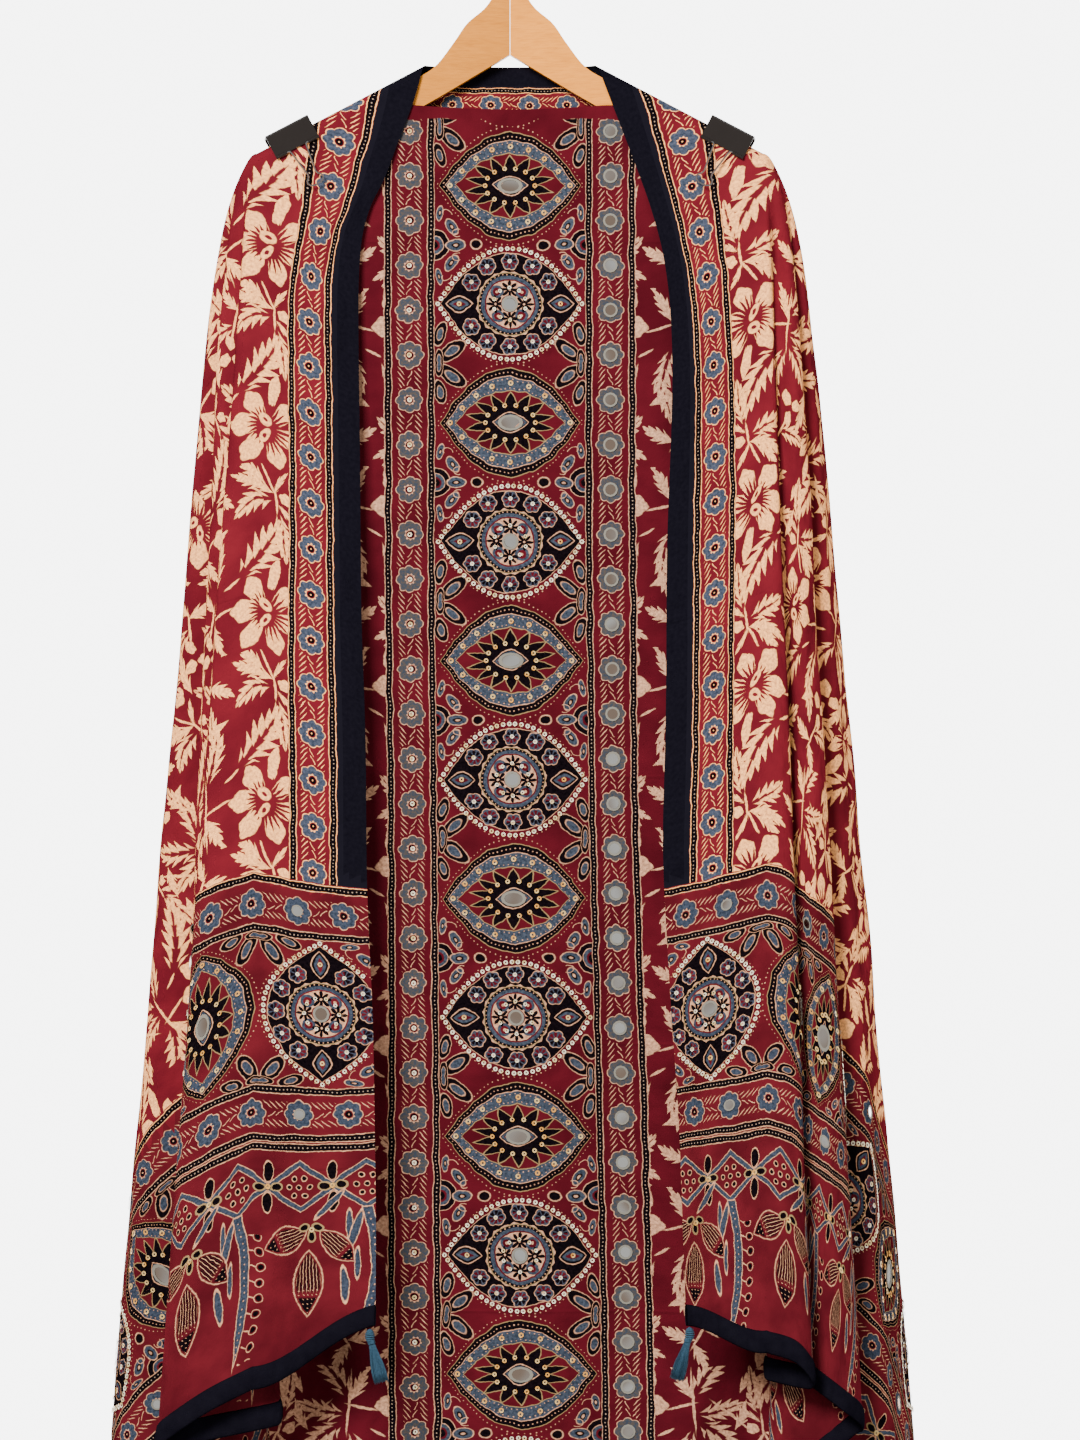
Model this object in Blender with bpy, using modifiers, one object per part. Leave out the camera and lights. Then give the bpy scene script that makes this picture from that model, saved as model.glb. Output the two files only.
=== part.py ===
# Ajrakh cloths on a wooden hanger: a long printed shawl hung like a cape by its
# neck edge, and a mirror-work panel hung inside it, both held by two spring clips.
# Metres, +Z up, the front faces -Y. The origin is the top of the hook's inside,
# where it rests on a rail.

import math

import bmesh
import bpy
import numpy as np
from mathutils import Matrix, Vector

MM = 0.001
GAP = 0.3 * MM

# Hanger: two flat arms glued at a centre ridge, swept forwards to their tips.
HOOK_WIRE = 3.2 * MM
HOOK_INNER_RADIUS = 21 * MM
HOOK_RISE = 70 * MM
HOOK_STEM_BEND = 20 * MM
ARM_THICKNESS = 12 * MM
ARM_EDGE_ROUND = 2.5 * MM
ARM_SWEEP = 0.08
ARM_TOP = [  # distance out from the ridge, depth below the hook's inside top
    (0.0, 70), (10, 72), (21, 89), (37, 103), (48, 119), (66, 141.5),
    (90, 155), (130, 175.3), (172, 196.5), (207, 214), (215, 219.5),
]
ARM_UNDERSIDE = [
    (217.5, 224), (215, 229), (207, 230), (172, 218.5), (130, 202), (81, 178), (0.0, 129.6),
]

# Shawl: cloth measured along its length from the middle of the back neck, and
# across its width from the neck edge.
SHAWL_HALF_LENGTH = 1169 * MM
SHAWL_WIDTH = 900 * MM
SHAWL_THICKNESS = 1.2 * MM
HEM_BAND = 18 * MM
HEM_BAND_THICKNESS = 2.0 * MM
HEM_BAND_GAP = 2.6 * MM
NECK_ALONG = 85 * MM
NECK_OUT = 73 * MM
TIP_ALONG = 195 * MM
TIP_ACROSS = 95 * MM
TIP_OUT = 218 * MM
CREST_SLOPE = 0.530
CREST_AT_NECK = -139 * MM
NECK_TURN = 14 * MM
OVER_RADIUS = 10.5 * MM
SHOULDER_BULGE = 34 * MM
SHOULDER_REACH = 50 * MM
FOLD_START = 50 * MM
LAYER_FLOOR = 80 * MM
LAYER_RISE = (27 * MM, 95 * MM)

# The inner edge of each front: depth below the neck, distance out from the middle.
INNER_EDGE = {
    "left": [(0, 73), (35, 82), (70, 95), (105, 108), (130, 120), (160, 127), (220, 129),
             (460, 127), (590, 123), (720, 121), (830, 116), (950, 114), (1120, 114)],
    "right": [(0, 70), (40, 85), (90, 104), (130, 118), (170, 128), (220, 134), (290, 136),
              (430, 132), (590, 130), (690, 128), (820, 134), (900, 140), (1030, 145), (1120, 148)],
}
# How much longer the cloth's end runs away from its inner corner.
HEM_SLANT = {"left": 36 * MM, "right": 24 * MM}

# Folds below each shoulder tip: turn in degrees about the tip on the flat cloth, then
# out, forwards and extra drop, each for a metre of depth.
FOLDS = {
    "left": [
        (0, 0.000, 0.100, 0.050), (2.6, 0.040, 0.103, 0.070), (4.6, 0.071, 0.098, 0.090),
        (6.2, 0.076, 0.088, 0.095), (8.0, 0.064, 0.079, 0.090), (14, -0.033, 0.074, 0.050),
        (16, -0.042, 0.066, 0.035), (18, -0.032, 0.058, 0.020), (24.5, 0.036, 0.055, 0.0),
        (26.5, 0.044, 0.047, 0.0), (28.5, 0.034, 0.039, 0.0), (34.5, -0.034, 0.035, 0.0),
        (36.5, -0.042, 0.027, 0.0), (38.5, -0.032, 0.019, 0.0), (44, 0.070, 0.014, 0.0),
        (46.5, 0.088, -0.004, 0.0), (49.5, 0.078, -0.024, 0.0), (54, 0.020, -0.034, 0.0),
        (58, -0.034, -0.040, 0.0), (60, -0.040, -0.049, 0.0), (62, -0.030, -0.057, 0.0),
        (67.5, 0.044, -0.062, 0.0), (70, 0.052, -0.072, 0.0), (72.5, 0.040, -0.081, 0.0),
        (77.5, -0.012, -0.084, 0.0), (80, -0.018, -0.092, 0.0), (82.5, -0.006, -0.100, 0.0),
        (86.5, 0.034, -0.104, 0.0), (88.5, 0.034, -0.112, 0.0), (90, 0.018, -0.118, 0.0),
    ],
    "right": [
        (0, 0.000, 0.100, 0.032), (1.8, 0.024, 0.101, 0.040), (3.4, 0.036, 0.094, 0.055),
        (5.2, 0.030, 0.080, 0.060), (9.0, -0.008, 0.068, 0.045), (11, -0.010, 0.059, 0.035),
        (13, 0.004, 0.056, 0.025), (18, 0.032, 0.075, 0.020), (21.5, 0.052, 0.070, 0.015),
        (23.5, 0.056, 0.059, 0.010), (25.5, 0.046, 0.049, 0.0), (31, -0.018, 0.040, 0.0),
        (33, -0.026, 0.031, 0.0), (35, -0.016, 0.023, 0.0), (40, 0.066, 0.024, 0.0),
        (42.3, 0.078, 0.010, 0.0), (44.5, 0.086, 0.004, 0.0), (46.5, 0.092, -0.010, 0.0),
        (49.5, 0.080, -0.028, 0.0), (54, 0.020, -0.038, 0.0), (57.5, -0.030, -0.043, 0.0),
        (59.5, -0.036, -0.052, 0.0), (61.5, -0.026, -0.060, 0.0), (67, 0.044, -0.066, 0.0),
        (69.5, 0.052, -0.076, 0.0), (72, 0.040, -0.085, 0.0), (77, -0.012, -0.088, 0.0),
        (79.5, -0.018, -0.096, 0.0), (82, -0.006, -0.103, 0.0), (86, 0.036, -0.106, 0.0),
        (88.5, 0.034, -0.113, 0.0), (90, 0.018, -0.118, 0.0),
    ],
}
BACK_FOLD_DEPTH = 0.016
BACK_FOLD_WIDTH = 118 * MM
BACK_SWING = 0.050
FRONT_WAVE = 0.010
SHAWL_ROWS = 19
FRONT_COLUMNS = 5
NECK_COLUMNS = 4

# Panel: hung inside the shawl and in front of the arms, its neck edge sagging
# between them and its shoulders gripped by the clips.
PANEL_HALF_WIDTH = 205 * MM
PANEL_THICKNESS = 1.0 * MM
PANEL_NECK_Z = -174 * MM
PANEL_NECK_SAG = 3 * MM
PANEL_BELOW_CREST = 6.5 * MM
PANEL_AHEAD = 8.6 * MM
PANEL_HEM_Z = -1376 * MM
PANEL_FLAT_Y = -22 * MM
PANEL_FOLD = 5 * MM
PANEL_SIDE_FOLD = 8 * MM
PANEL_LEAN = 10 * MM
PANEL_FLARE = 0.06
PANEL_COLUMNS = 32
PANEL_ROWS = 22

# Spring clips over the shoulders.
CLIP_OUT = 189 * MM
CLIP_LENGTH = 41 * MM
CLIP_HEIGHT = 21 * MM
CLIP_HALF_GRIP = 12.2 * MM
CLIP_HALF_SPINE = 12.8 * MM
CLIP_STEEL = 1.0 * MM
CLIP_CROWN = 8.5 * MM
ROLL_RADIUS = 1.5 * MM
ROLL_LENGTH = 10 * MM
HANDLE_WIRE = 1.5 * MM
HANDLE_LENGTH = 37 * MM
HANDLE_TILT = {"front": 9, "back": 24}

# Tassels on the two inner corners of the hem.
TASSEL_DROP = 41 * MM
TASSEL_HEAD_RADIUS = 3.6 * MM
TASSEL_STRAND = 0.9 * MM
TASSEL_RINGS = [(10, 2.6 * MM, 6.6 * MM), (5, 1.1 * MM, 3.0 * MM)]
TASSEL_TILT = {"left": -14, "right": 16}
TASSEL_SEAT = {"left": -1.0 * MM, "right": -0.3 * MM}

SIDES = {"left": -1, "right": 1}
COLOURS = {
    "printed_cloth": ((0.36, 0.035, 0.040), 0.75, 0.0),
    "navy_band": ((0.010, 0.014, 0.026), 0.70, 0.0),
    "beech_wood": ((0.72, 0.46, 0.22), 0.45, 0.0),
    "steel_wire": ((0.72, 0.70, 0.68), 0.25, 1.0),
    "black_steel": ((0.030, 0.027, 0.026), 0.40, 0.6),
    "teal_thread": ((0.035, 0.14, 0.20), 0.65, 0.0),
}


def clear_scene():
    for thing in list(bpy.data.objects):
        bpy.data.objects.remove(thing)


def collection(name):
    made = bpy.data.collections.new(name)
    bpy.context.scene.collection.children.link(made)
    return made


def material(name):
    found = bpy.data.materials.get(name)
    if found:
        return found
    colour, roughness, metallic = COLOURS[name]
    made = bpy.data.materials.new(name)
    made.use_nodes = True
    shader = made.node_tree.nodes["Principled BSDF"]
    shader.inputs["Base Color"].default_value = (*colour, 1.0)
    shader.inputs["Roughness"].default_value = roughness
    shader.inputs["Metallic"].default_value = metallic
    return made


def add(name, mesh, finish, group):
    made = bpy.data.objects.new(name, mesh)
    made.data.materials.append(material(finish))
    group.objects.link(made)
    return made


def mix(a, b, share):
    return a + (b - a) * share


def smoothstep(low, high, value):
    share = min(1.0, max(0.0, (value - low) / (high - low)))
    return share * share * (3 - 2 * share)


def smooth_row(table, key):
    """The row of a table at key, by a smooth curve through its rows."""
    keys = [row[0] for row in table]
    last = len(table) - 1
    key = min(max(key, keys[0]), keys[last])
    at = min(max(int(np.searchsorted(keys, key, side="right")) - 1, 0), last - 1)
    span = keys[at + 1] - keys[at]
    share = (key - keys[at]) / span

    def slope(row, column):
        before, after = max(row - 1, 0), min(row + 1, last)
        return (table[after][column] - table[before][column]) / (keys[after] - keys[before])

    values = []
    for column in range(1, len(table[0])):
        start, end = table[at][column], table[at + 1][column]
        rise, fall = slope(at, column) * span, slope(at + 1, column) * span
        cube, square = share ** 3, share ** 2
        values.append(
            (2 * cube - 3 * square + 1) * start + (cube - 2 * square + share) * rise
            + (3 * square - 2 * cube) * end + (cube - square) * fall
        )
    return values


def over_edge(distance, radius):
    """How far out and down a cloth is, that distance past the crest it hangs over."""
    quarter = math.pi / 2 * radius
    if distance < quarter:
        return radius * math.sin(distance / radius), radius * (1 - math.cos(distance / radius))
    return radius, radius + distance - quarter


def crest(out):
    return CREST_AT_NECK - (out - NECK_OUT) * CREST_SLOPE


def arm_y(out):
    return -ARM_SWEEP * out


def fold_growth(depth):
    return depth * depth / (depth + FOLD_START)


def layer_growth(depth):
    return (depth + LAYER_FLOOR) * smoothstep(*LAYER_RISE, depth)


def front_point(side, along, across):
    share = across / TIP_ACROSS
    depth = along - mix(NECK_ALONG, TIP_ALONG, share)
    top = mix(NECK_OUT, TIP_OUT, share)
    ahead, down = over_edge(depth, OVER_RADIUS)
    inner = smooth_row(INNER_EDGE[side], depth / MM)[0] * MM
    _, forward, drop = smooth_row(FOLDS[side], 0)
    wave = FRONT_WAVE * math.sin(math.pi * share) * math.sin(2.3 * share + 4.0 * depth)
    return (
        top + (inner - INNER_EDGE[side][0][1] * MM) * (1 - share),
        arm_y(top) - ahead - fold_growth(depth) * (forward + wave),
        crest(top) - down - drop * depth ** 2 * share,
    )


def side_point(side, along, across):
    depth = math.hypot(along - TIP_ALONG, across - TIP_ACROSS)
    turn = math.degrees(math.atan2(across - TIP_ACROSS, along - TIP_ALONG))
    out, forward, drop = smooth_row(FOLDS[side], turn)
    first_forward = FOLDS[side][0][2]
    facing = math.radians(2 * turn - 90)
    ahead, down = over_edge(depth, OVER_RADIUS)
    bulge = SHOULDER_BULGE * (1 - math.exp(-depth / SHOULDER_REACH))
    return (
        TIP_OUT + bulge * math.cos(facing) + fold_growth(depth) * out,
        arm_y(TIP_OUT) + ahead * math.sin(facing) - fold_growth(depth) * first_forward
        + layer_growth(depth) * (first_forward - forward),
        crest(TIP_OUT) - down - drop * depth ** 2,
    )


def back_point(side, along, across):
    share = (along - NECK_ALONG) / (TIP_ALONG - NECK_ALONG)
    top = mix(NECK_OUT, TIP_OUT, share) if share > 0 else NECK_OUT * along / NECK_ALONG
    depth = across - max(share, 0) * TIP_ACROSS
    behind, down = over_edge(depth, OVER_RADIUS)
    if share < 0:
        seated = smoothstep(NECK_ALONG - NECK_TURN, NECK_ALONG, along)
        behind, down = mix(OVER_RADIUS, behind, seated), mix(depth, down, seated)
    reach = along / TIP_ALONG
    first_forward = FOLDS[side][0][2]
    end_out, end_forward, _ = smooth_row(FOLDS[side], 90)
    fold = BACK_FOLD_DEPTH * math.sin(2 * math.pi * (TIP_ALONG - along) / BACK_FOLD_WIDTH)
    swing = mix(BACK_SWING, first_forward - end_forward, reach ** 2)
    return (
        top + fold_growth(depth) * end_out * reach ** 2,
        arm_y(top) + behind - fold_growth(depth) * (first_forward * reach ** 2 - fold)
        + layer_growth(depth) * swing,
        crest(max(top, NECK_OUT)) - down,
    )


def shawl_point(side, along, across):
    """Where a point of the flat shawl hangs."""
    arm_along = mix(NECK_ALONG, TIP_ALONG, across / TIP_ACROSS)
    if across <= TIP_ACROSS and along >= arm_along - 1e-9:
        out, y, z = front_point(side, along, across)
    elif along >= TIP_ALONG and across >= TIP_ACROSS:
        out, y, z = side_point(side, along, across)
    else:
        out, y, z = back_point(side, along, across)
    return Vector((SIDES[side] * out, y, z))


def cloth_end(side, across):
    """Length from the back neck to where the hem band starts."""
    slant = HEM_SLANT[side] * smoothstep(0, TIP_ACROSS, across)
    return SHAWL_HALF_LENGTH - HEM_BAND + slant


def corner_turn(side):
    return math.degrees(math.atan2(SHAWL_WIDTH - TIP_ACROSS, cloth_end(side, SHAWL_WIDTH) - TIP_ALONG))


def side_turns(side):
    """Turns of the hanging lines between the front and the back, the corner's among them."""
    keys = [row[0] for row in FOLDS[side]]
    turns = []
    for low, high in zip(keys, keys[1:]):
        steps = 2 if high - low > 3.2 else 1
        turns += [mix(low, high, step / steps) for step in range(steps)]
    corner = corner_turn(side)
    nearest = min(turns[1:], key=lambda turn: abs(turn - corner))
    turns[turns.index(nearest)] = corner
    return sorted(turns) + [90.0]


def hanging_lines(side):
    """Each line down the cloth, from the front edge round to the back neck: its start,
    its direction on the flat cloth and its length."""
    lines = []
    for step in range(FRONT_COLUMNS):
        across = TIP_ACROSS * step / FRONT_COLUMNS
        start = mix(NECK_ALONG, TIP_ALONG, step / FRONT_COLUMNS)
        lines.append((start, across, 1, 0, cloth_end(side, across) - start))
    for turn in side_turns(side):
        ahead, aside = math.cos(math.radians(turn)), math.sin(math.radians(turn))
        to_end = (cloth_end(side, SHAWL_WIDTH) - TIP_ALONG) / max(ahead, 1e-9)
        to_edge = (SHAWL_WIDTH - TIP_ACROSS) / max(aside, 1e-9)
        lines.append((TIP_ALONG, TIP_ACROSS, ahead, aside, min(to_end, to_edge)))
    for step in reversed(range(FRONT_COLUMNS)):
        across = TIP_ACROSS * step / FRONT_COLUMNS
        start = mix(NECK_ALONG, TIP_ALONG, step / FRONT_COLUMNS)
        lines.append((start, across, 0, 1, SHAWL_WIDTH - across))
    for step in reversed(range(1, NECK_COLUMNS)):
        along = (NECK_ALONG - NECK_TURN) * step / (NECK_COLUMNS - 1)
        lines.append((along, 0, 0, 1, SHAWL_WIDTH))
    return lines


def row_depth(row, length):
    """Close rows over the crest, wider ones below."""
    crest_rows, arc, clear = 4, math.pi / 2 * OVER_RADIUS, LAYER_RISE[0]
    if row <= crest_rows:
        return arc * row / crest_rows
    share = (row - crest_rows - 1) / (SHAWL_ROWS - crest_rows - 1)
    return clear + (length - clear) * share ** 1.15


def grid_mesh(name, columns, rows, place):
    """A grid whose points are moved to place(column, row), with shared points welded."""
    sheet = bmesh.new()
    bmesh.ops.create_grid(sheet, x_segments=columns, y_segments=rows, size=0.5)
    for vertex in sheet.verts:
        column = round((vertex.co.x + 0.5) * columns)
        row = round((0.5 - vertex.co.y) * rows)
        vertex.co = place(column, row)
    bmesh.ops.remove_doubles(sheet, verts=sheet.verts, dist=0.05 * MM)
    bmesh.ops.dissolve_degenerate(sheet, edges=sheet.edges, dist=0.02 * MM)
    bmesh.ops.recalc_face_normals(sheet, faces=sheet.faces)
    made = bpy.data.meshes.new(name)
    sheet.to_mesh(made)
    sheet.free()
    made.shade_smooth()
    return made


def thicken(thing, thickness):
    wall = thing.modifiers.new("cloth thickness", "SOLIDIFY")
    wall.thickness = thickness
    wall.offset = 0
    return thing


def make_shawl(group):
    lines = [("left", line) for line in hanging_lines("left")]
    lines.append(("right", (0, 0, 0, 1, SHAWL_WIDTH)))
    lines += [("right", line) for line in reversed(hanging_lines("right"))]

    def place(column, row):
        side, (along, across, ahead, aside, length) = lines[column]
        depth = row_depth(row, length)
        return shawl_point(side, along + depth * ahead, across + depth * aside)

    mesh = grid_mesh("shawl", len(lines) - 1, SHAWL_ROWS, place)
    return thicken(add("shawl", mesh, "printed_cloth", group), SHAWL_THICKNESS)


def make_hem_band(side, group):
    """The dark strip bound over the shawl's cut end, through all its folds."""
    across_at = [TIP_ACROSS * step / FRONT_COLUMNS for step in range(FRONT_COLUMNS)]
    for turn in side_turns(side):
        reach = cloth_end(side, SHAWL_WIDTH) - TIP_ALONG
        across = TIP_ACROSS + reach * math.tan(math.radians(min(turn, 89)))
        if across <= SHAWL_WIDTH + 1e-6:
            across_at.append(min(across, SHAWL_WIDTH))

    def place(column, row):
        across = across_at[column]
        start = cloth_end(side, across) + HEM_BAND_GAP
        return shawl_point(side, start + (HEM_BAND - HEM_BAND_GAP) * row / 2, across)

    mesh = grid_mesh(f"hem_band_{side}", len(across_at) - 1, 2, place)
    return thicken(add(f"hem_band_{side}", mesh, "navy_band", group), HEM_BAND_THICKNESS)


def panel_top(across):
    """Level between the arms, then just below the crest, in front of them."""
    out = abs(across)
    level = PANEL_NECK_Z - PANEL_NECK_SAG * (1 - min(out / (80 * MM), 1) ** 2)
    return min(level, crest(out) - PANEL_BELOW_CREST)


def panel_point(across, depth):
    """Where a point of the panel hangs: across from its middle and down from its top."""
    out = abs(across)
    away = smoothstep(20 * MM, 260 * MM, depth)
    fullness = smoothstep(60 * MM, 1000 * MM, depth)
    fold = PANEL_FOLD * math.sin(across / (23 * MM) + 1.1)
    side_fold = PANEL_SIDE_FOLD * smoothstep(100 * MM, 140 * MM, out) * math.sin(out / (17 * MM) + 0.6)
    y = mix(arm_y(out) - PANEL_AHEAD, PANEL_FLAT_Y, away) - fullness * (fold + side_fold)
    lean = PANEL_LEAN * smoothstep(300 * MM, 1200 * MM, depth)
    flare = 1 + PANEL_FLARE * smoothstep(500 * MM, 1150 * MM, depth)
    return Vector((across * flare + lean, y, panel_top(across) - depth))


def make_panel(group):
    def place(column, row):
        across = PANEL_HALF_WIDTH * (2 * column / PANEL_COLUMNS - 1)
        length = panel_top(across) - PANEL_HEM_Z
        return panel_point(across, length * (row / PANEL_ROWS) ** 1.3)

    mesh = grid_mesh("panel", PANEL_COLUMNS, PANEL_ROWS, place)
    return thicken(add("panel", mesh, "printed_cloth", group), PANEL_THICKNESS)


def make_arm(side, group):
    """One half of the hanger: a flat outline, thickened, rounded and swept forwards."""
    sign = SIDES[side]
    outline = bpy.data.curves.new(f"arm outline {side}", "CURVE")
    outline.dimensions = "2D"
    outline.fill_mode = "BOTH"
    outline.extrude = ARM_THICKNESS / 2
    points = [(max(out * MM, GAP / 2), -depth * MM) for out, depth in ARM_TOP + ARM_UNDERSIDE]
    spline = outline.splines.new("POLY")
    spline.points.add(len(points) - 1)
    for point, (out, height) in zip(spline.points, points):
        point.co = (sign * out, height, 0, 1)
    spline.use_cyclic_u = True
    drawn = bpy.data.objects.new("arm outline", outline)
    group.objects.link(drawn)
    bpy.context.view_layer.update()
    flat = bpy.data.meshes.new_from_object(drawn.evaluated_get(bpy.context.evaluated_depsgraph_get()))
    bpy.data.objects.remove(drawn)
    solid = bmesh.new()
    solid.from_mesh(flat)
    bmesh.ops.remove_doubles(solid, verts=solid.verts, dist=0.05 * MM)
    bmesh.ops.rotate(solid, verts=solid.verts, matrix=Matrix.Rotation(math.pi / 2, 3, "X"))
    outer = [edge for edge in solid.edges if edge.is_manifold
             and edge.calc_face_angle(0) > math.radians(60)
             and min(abs(vertex.co.x) for vertex in edge.verts) > MM]
    bmesh.ops.bevel(solid, geom=outer, offset=ARM_EDGE_ROUND, segments=2, affect="EDGES", profile=0.5)
    for vertex in solid.verts:
        vertex.co.y += arm_y(abs(vertex.co.x))
    bmesh.ops.triangulate(solid, faces=[face for face in solid.faces if len(face.verts) > 4])
    bmesh.ops.recalc_face_normals(solid, faces=solid.faces)
    mesh = bpy.data.meshes.new(f"hanger_arm_{side}")
    solid.to_mesh(mesh)
    solid.free()
    mesh.shade_smooth()
    mesh.set_sharp_from_angle(angle=math.radians(32))
    return add(f"hanger_arm_{side}", mesh, "beech_wood", group)


def wire(name, points, diameter, finish, group, sides=2):
    curve = bpy.data.curves.new(name, "CURVE")
    curve.dimensions = "3D"
    curve.bevel_depth = diameter / 2
    curve.bevel_resolution = sides
    curve.use_fill_caps = True
    spline = curve.splines.new("POLY")
    spline.points.add(len(points) - 1)
    for point, place in zip(spline.points, points):
        point.co = (*place, 1)
    return add(name, curve, finish, group)


def make_hook(group):
    """A stem bent over into a round crook, open on the left."""
    radius = HOOK_INNER_RADIUS + HOOK_WIRE / 2
    centre = -HOOK_INNER_RADIUS
    foot = -HOOK_RISE + GAP
    points = [(0, 0, foot), (0, 0, foot + 6 * MM)]
    swing = 4 * MM
    start = math.radians(-62)
    joint = Vector((radius * math.cos(start), 0, centre + radius * math.sin(start)))
    for step in range(1, 8):
        share = step / 8
        points.append((joint.x * smoothstep(0, 1, share) + swing * math.sin(math.pi * share),
                       0, mix(foot + 6 * MM, joint.z, share)))
    turns = 22
    for step in range(turns + 1):
        angle = start + math.radians(252) * step / turns
        points.append((radius * math.cos(angle), 0, centre + radius * math.sin(angle)))
    return wire("hanger_hook", points, HOOK_WIRE, "steel_wire", group, sides=2)


def clip_frame(side):
    """Axes of a clip: outwards along the shoulder, up from it, and forwards."""
    sign = SIDES[side]
    along = Vector((sign, -ARM_SWEEP, -CREST_SLOPE)).normalized()
    ahead = Vector((0, -1, 0))
    ahead = (ahead - ahead.dot(along) * along).normalized()
    up = along.cross(ahead)
    if up.z < 0:
        up = -up
    origin = Vector((sign * CLIP_OUT, arm_y(CLIP_OUT), crest(CLIP_OUT)))
    return origin, along, up, ahead


def placed(frame, along, up, ahead):
    origin, first, second, third = frame
    return origin + first * along + second * up + third * ahead


def make_clip_body(side, group):
    """Folded sheet steel: a spine over the crest, two walls and a rolled jaw on each."""
    frame = clip_frame(side)
    foot = CLIP_CROWN - CLIP_HEIGHT
    crown = CLIP_CROWN
    outer = [(foot, CLIP_HALF_GRIP + CLIP_STEEL), (crown - 1.5 * MM, CLIP_HALF_SPINE + CLIP_STEEL),
             (crown, CLIP_HALF_SPINE - 0.5 * MM)]
    inner = [(crown - CLIP_STEEL, CLIP_HALF_SPINE - 1.2 * MM),
             (crown - 2.2 * MM, CLIP_HALF_SPINE), (foot, CLIP_HALF_GRIP)]
    section = outer + [(up, -ahead) for up, ahead in reversed(outer)]
    section += [(up, -ahead) for up, ahead in reversed(inner)] + inner
    steel = bmesh.new()
    ring = [steel.verts.new(placed(frame, -CLIP_LENGTH / 2, up, ahead)) for up, ahead in section]
    cap = steel.faces.new(ring)
    swept = bmesh.ops.extrude_face_region(steel, geom=[cap])
    moved = [item for item in swept["geom"] if isinstance(item, bmesh.types.BMVert)]
    bmesh.ops.translate(steel, verts=moved, vec=frame[1] * CLIP_LENGTH)
    bmesh.ops.recalc_face_normals(steel, faces=steel.faces)
    mesh = bpy.data.meshes.new(f"clip_{side}_body")
    steel.to_mesh(mesh)
    steel.free()
    body = add(f"clip_{side}_body", mesh, "black_steel", group)
    rolls = bpy.data.collections.get("clip rolls") or collection("clip rolls")
    for facing in (1, -1):
        for end in (1, -1):
            centre = placed(frame, end * (CLIP_LENGTH - ROLL_LENGTH) / 2, foot,
                            facing * (CLIP_HALF_GRIP + CLIP_STEEL + 0.6 * MM))
            bpy.ops.mesh.primitive_cylinder_add(vertices=12, radius=ROLL_RADIUS, depth=ROLL_LENGTH,
                                                location=centre)
            roll = bpy.context.object
            roll.name = f"roll {side} {facing} {end}"
            roll.rotation_mode = "QUATERNION"
            roll.rotation_quaternion = frame[1].to_track_quat("Z", "Y")
            roll.hide_render = True
            roll.display_type = "WIRE"
            for holder in list(roll.users_collection):
                holder.objects.unlink(roll)
            rolls.objects.link(roll)
            join = body.modifiers.new("roll", "BOOLEAN")
            join.operation = "UNION"
            join.object = roll
    return body


def make_handle(side, facing, group):
    """A wire loop from the inner ends of a jaw's two rolls, pinched, then opened out."""
    frame = clip_frame(side)
    sign = 1 if facing == "front" else -1
    foot = CLIP_CROWN - CLIP_HEIGHT
    root = CLIP_LENGTH / 2 - ROLL_LENGTH - GAP
    tilt = math.radians(HANDLE_TILT[facing])
    half = [(root, 0), (root - 1.6 * MM, 0), (root - 2.6 * MM, 0.8 * MM), (root - 3.2 * MM, 3 * MM)]
    half += [(mix(root - 3.2 * MM, 3.6 * MM, share), mix(3 * MM, 26 * MM, share))
             for share in (0.33, 0.66, 1.0)]
    half += [(4.4 * MM, 28.5 * MM), (6.6 * MM, 30.5 * MM), (7.4 * MM, 33 * MM), (6.2 * MM, 35.3 * MM),
             (3.4 * MM, 36.7 * MM), (0, HANDLE_LENGTH)]
    shape = half + [(-aside, down) for aside, down in reversed(half[:-1])]
    points = []
    for aside, down in shape:
        lift = CLIP_HALF_GRIP + CLIP_STEEL + GAP + HANDLE_WIRE / 2 + down * math.sin(tilt)
        points.append(placed(frame, aside, foot - down * math.cos(tilt), sign * lift))
    return wire(f"clip_{side}_handle_{facing}", points, HANDLE_WIRE, "steel_wire", group)


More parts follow.
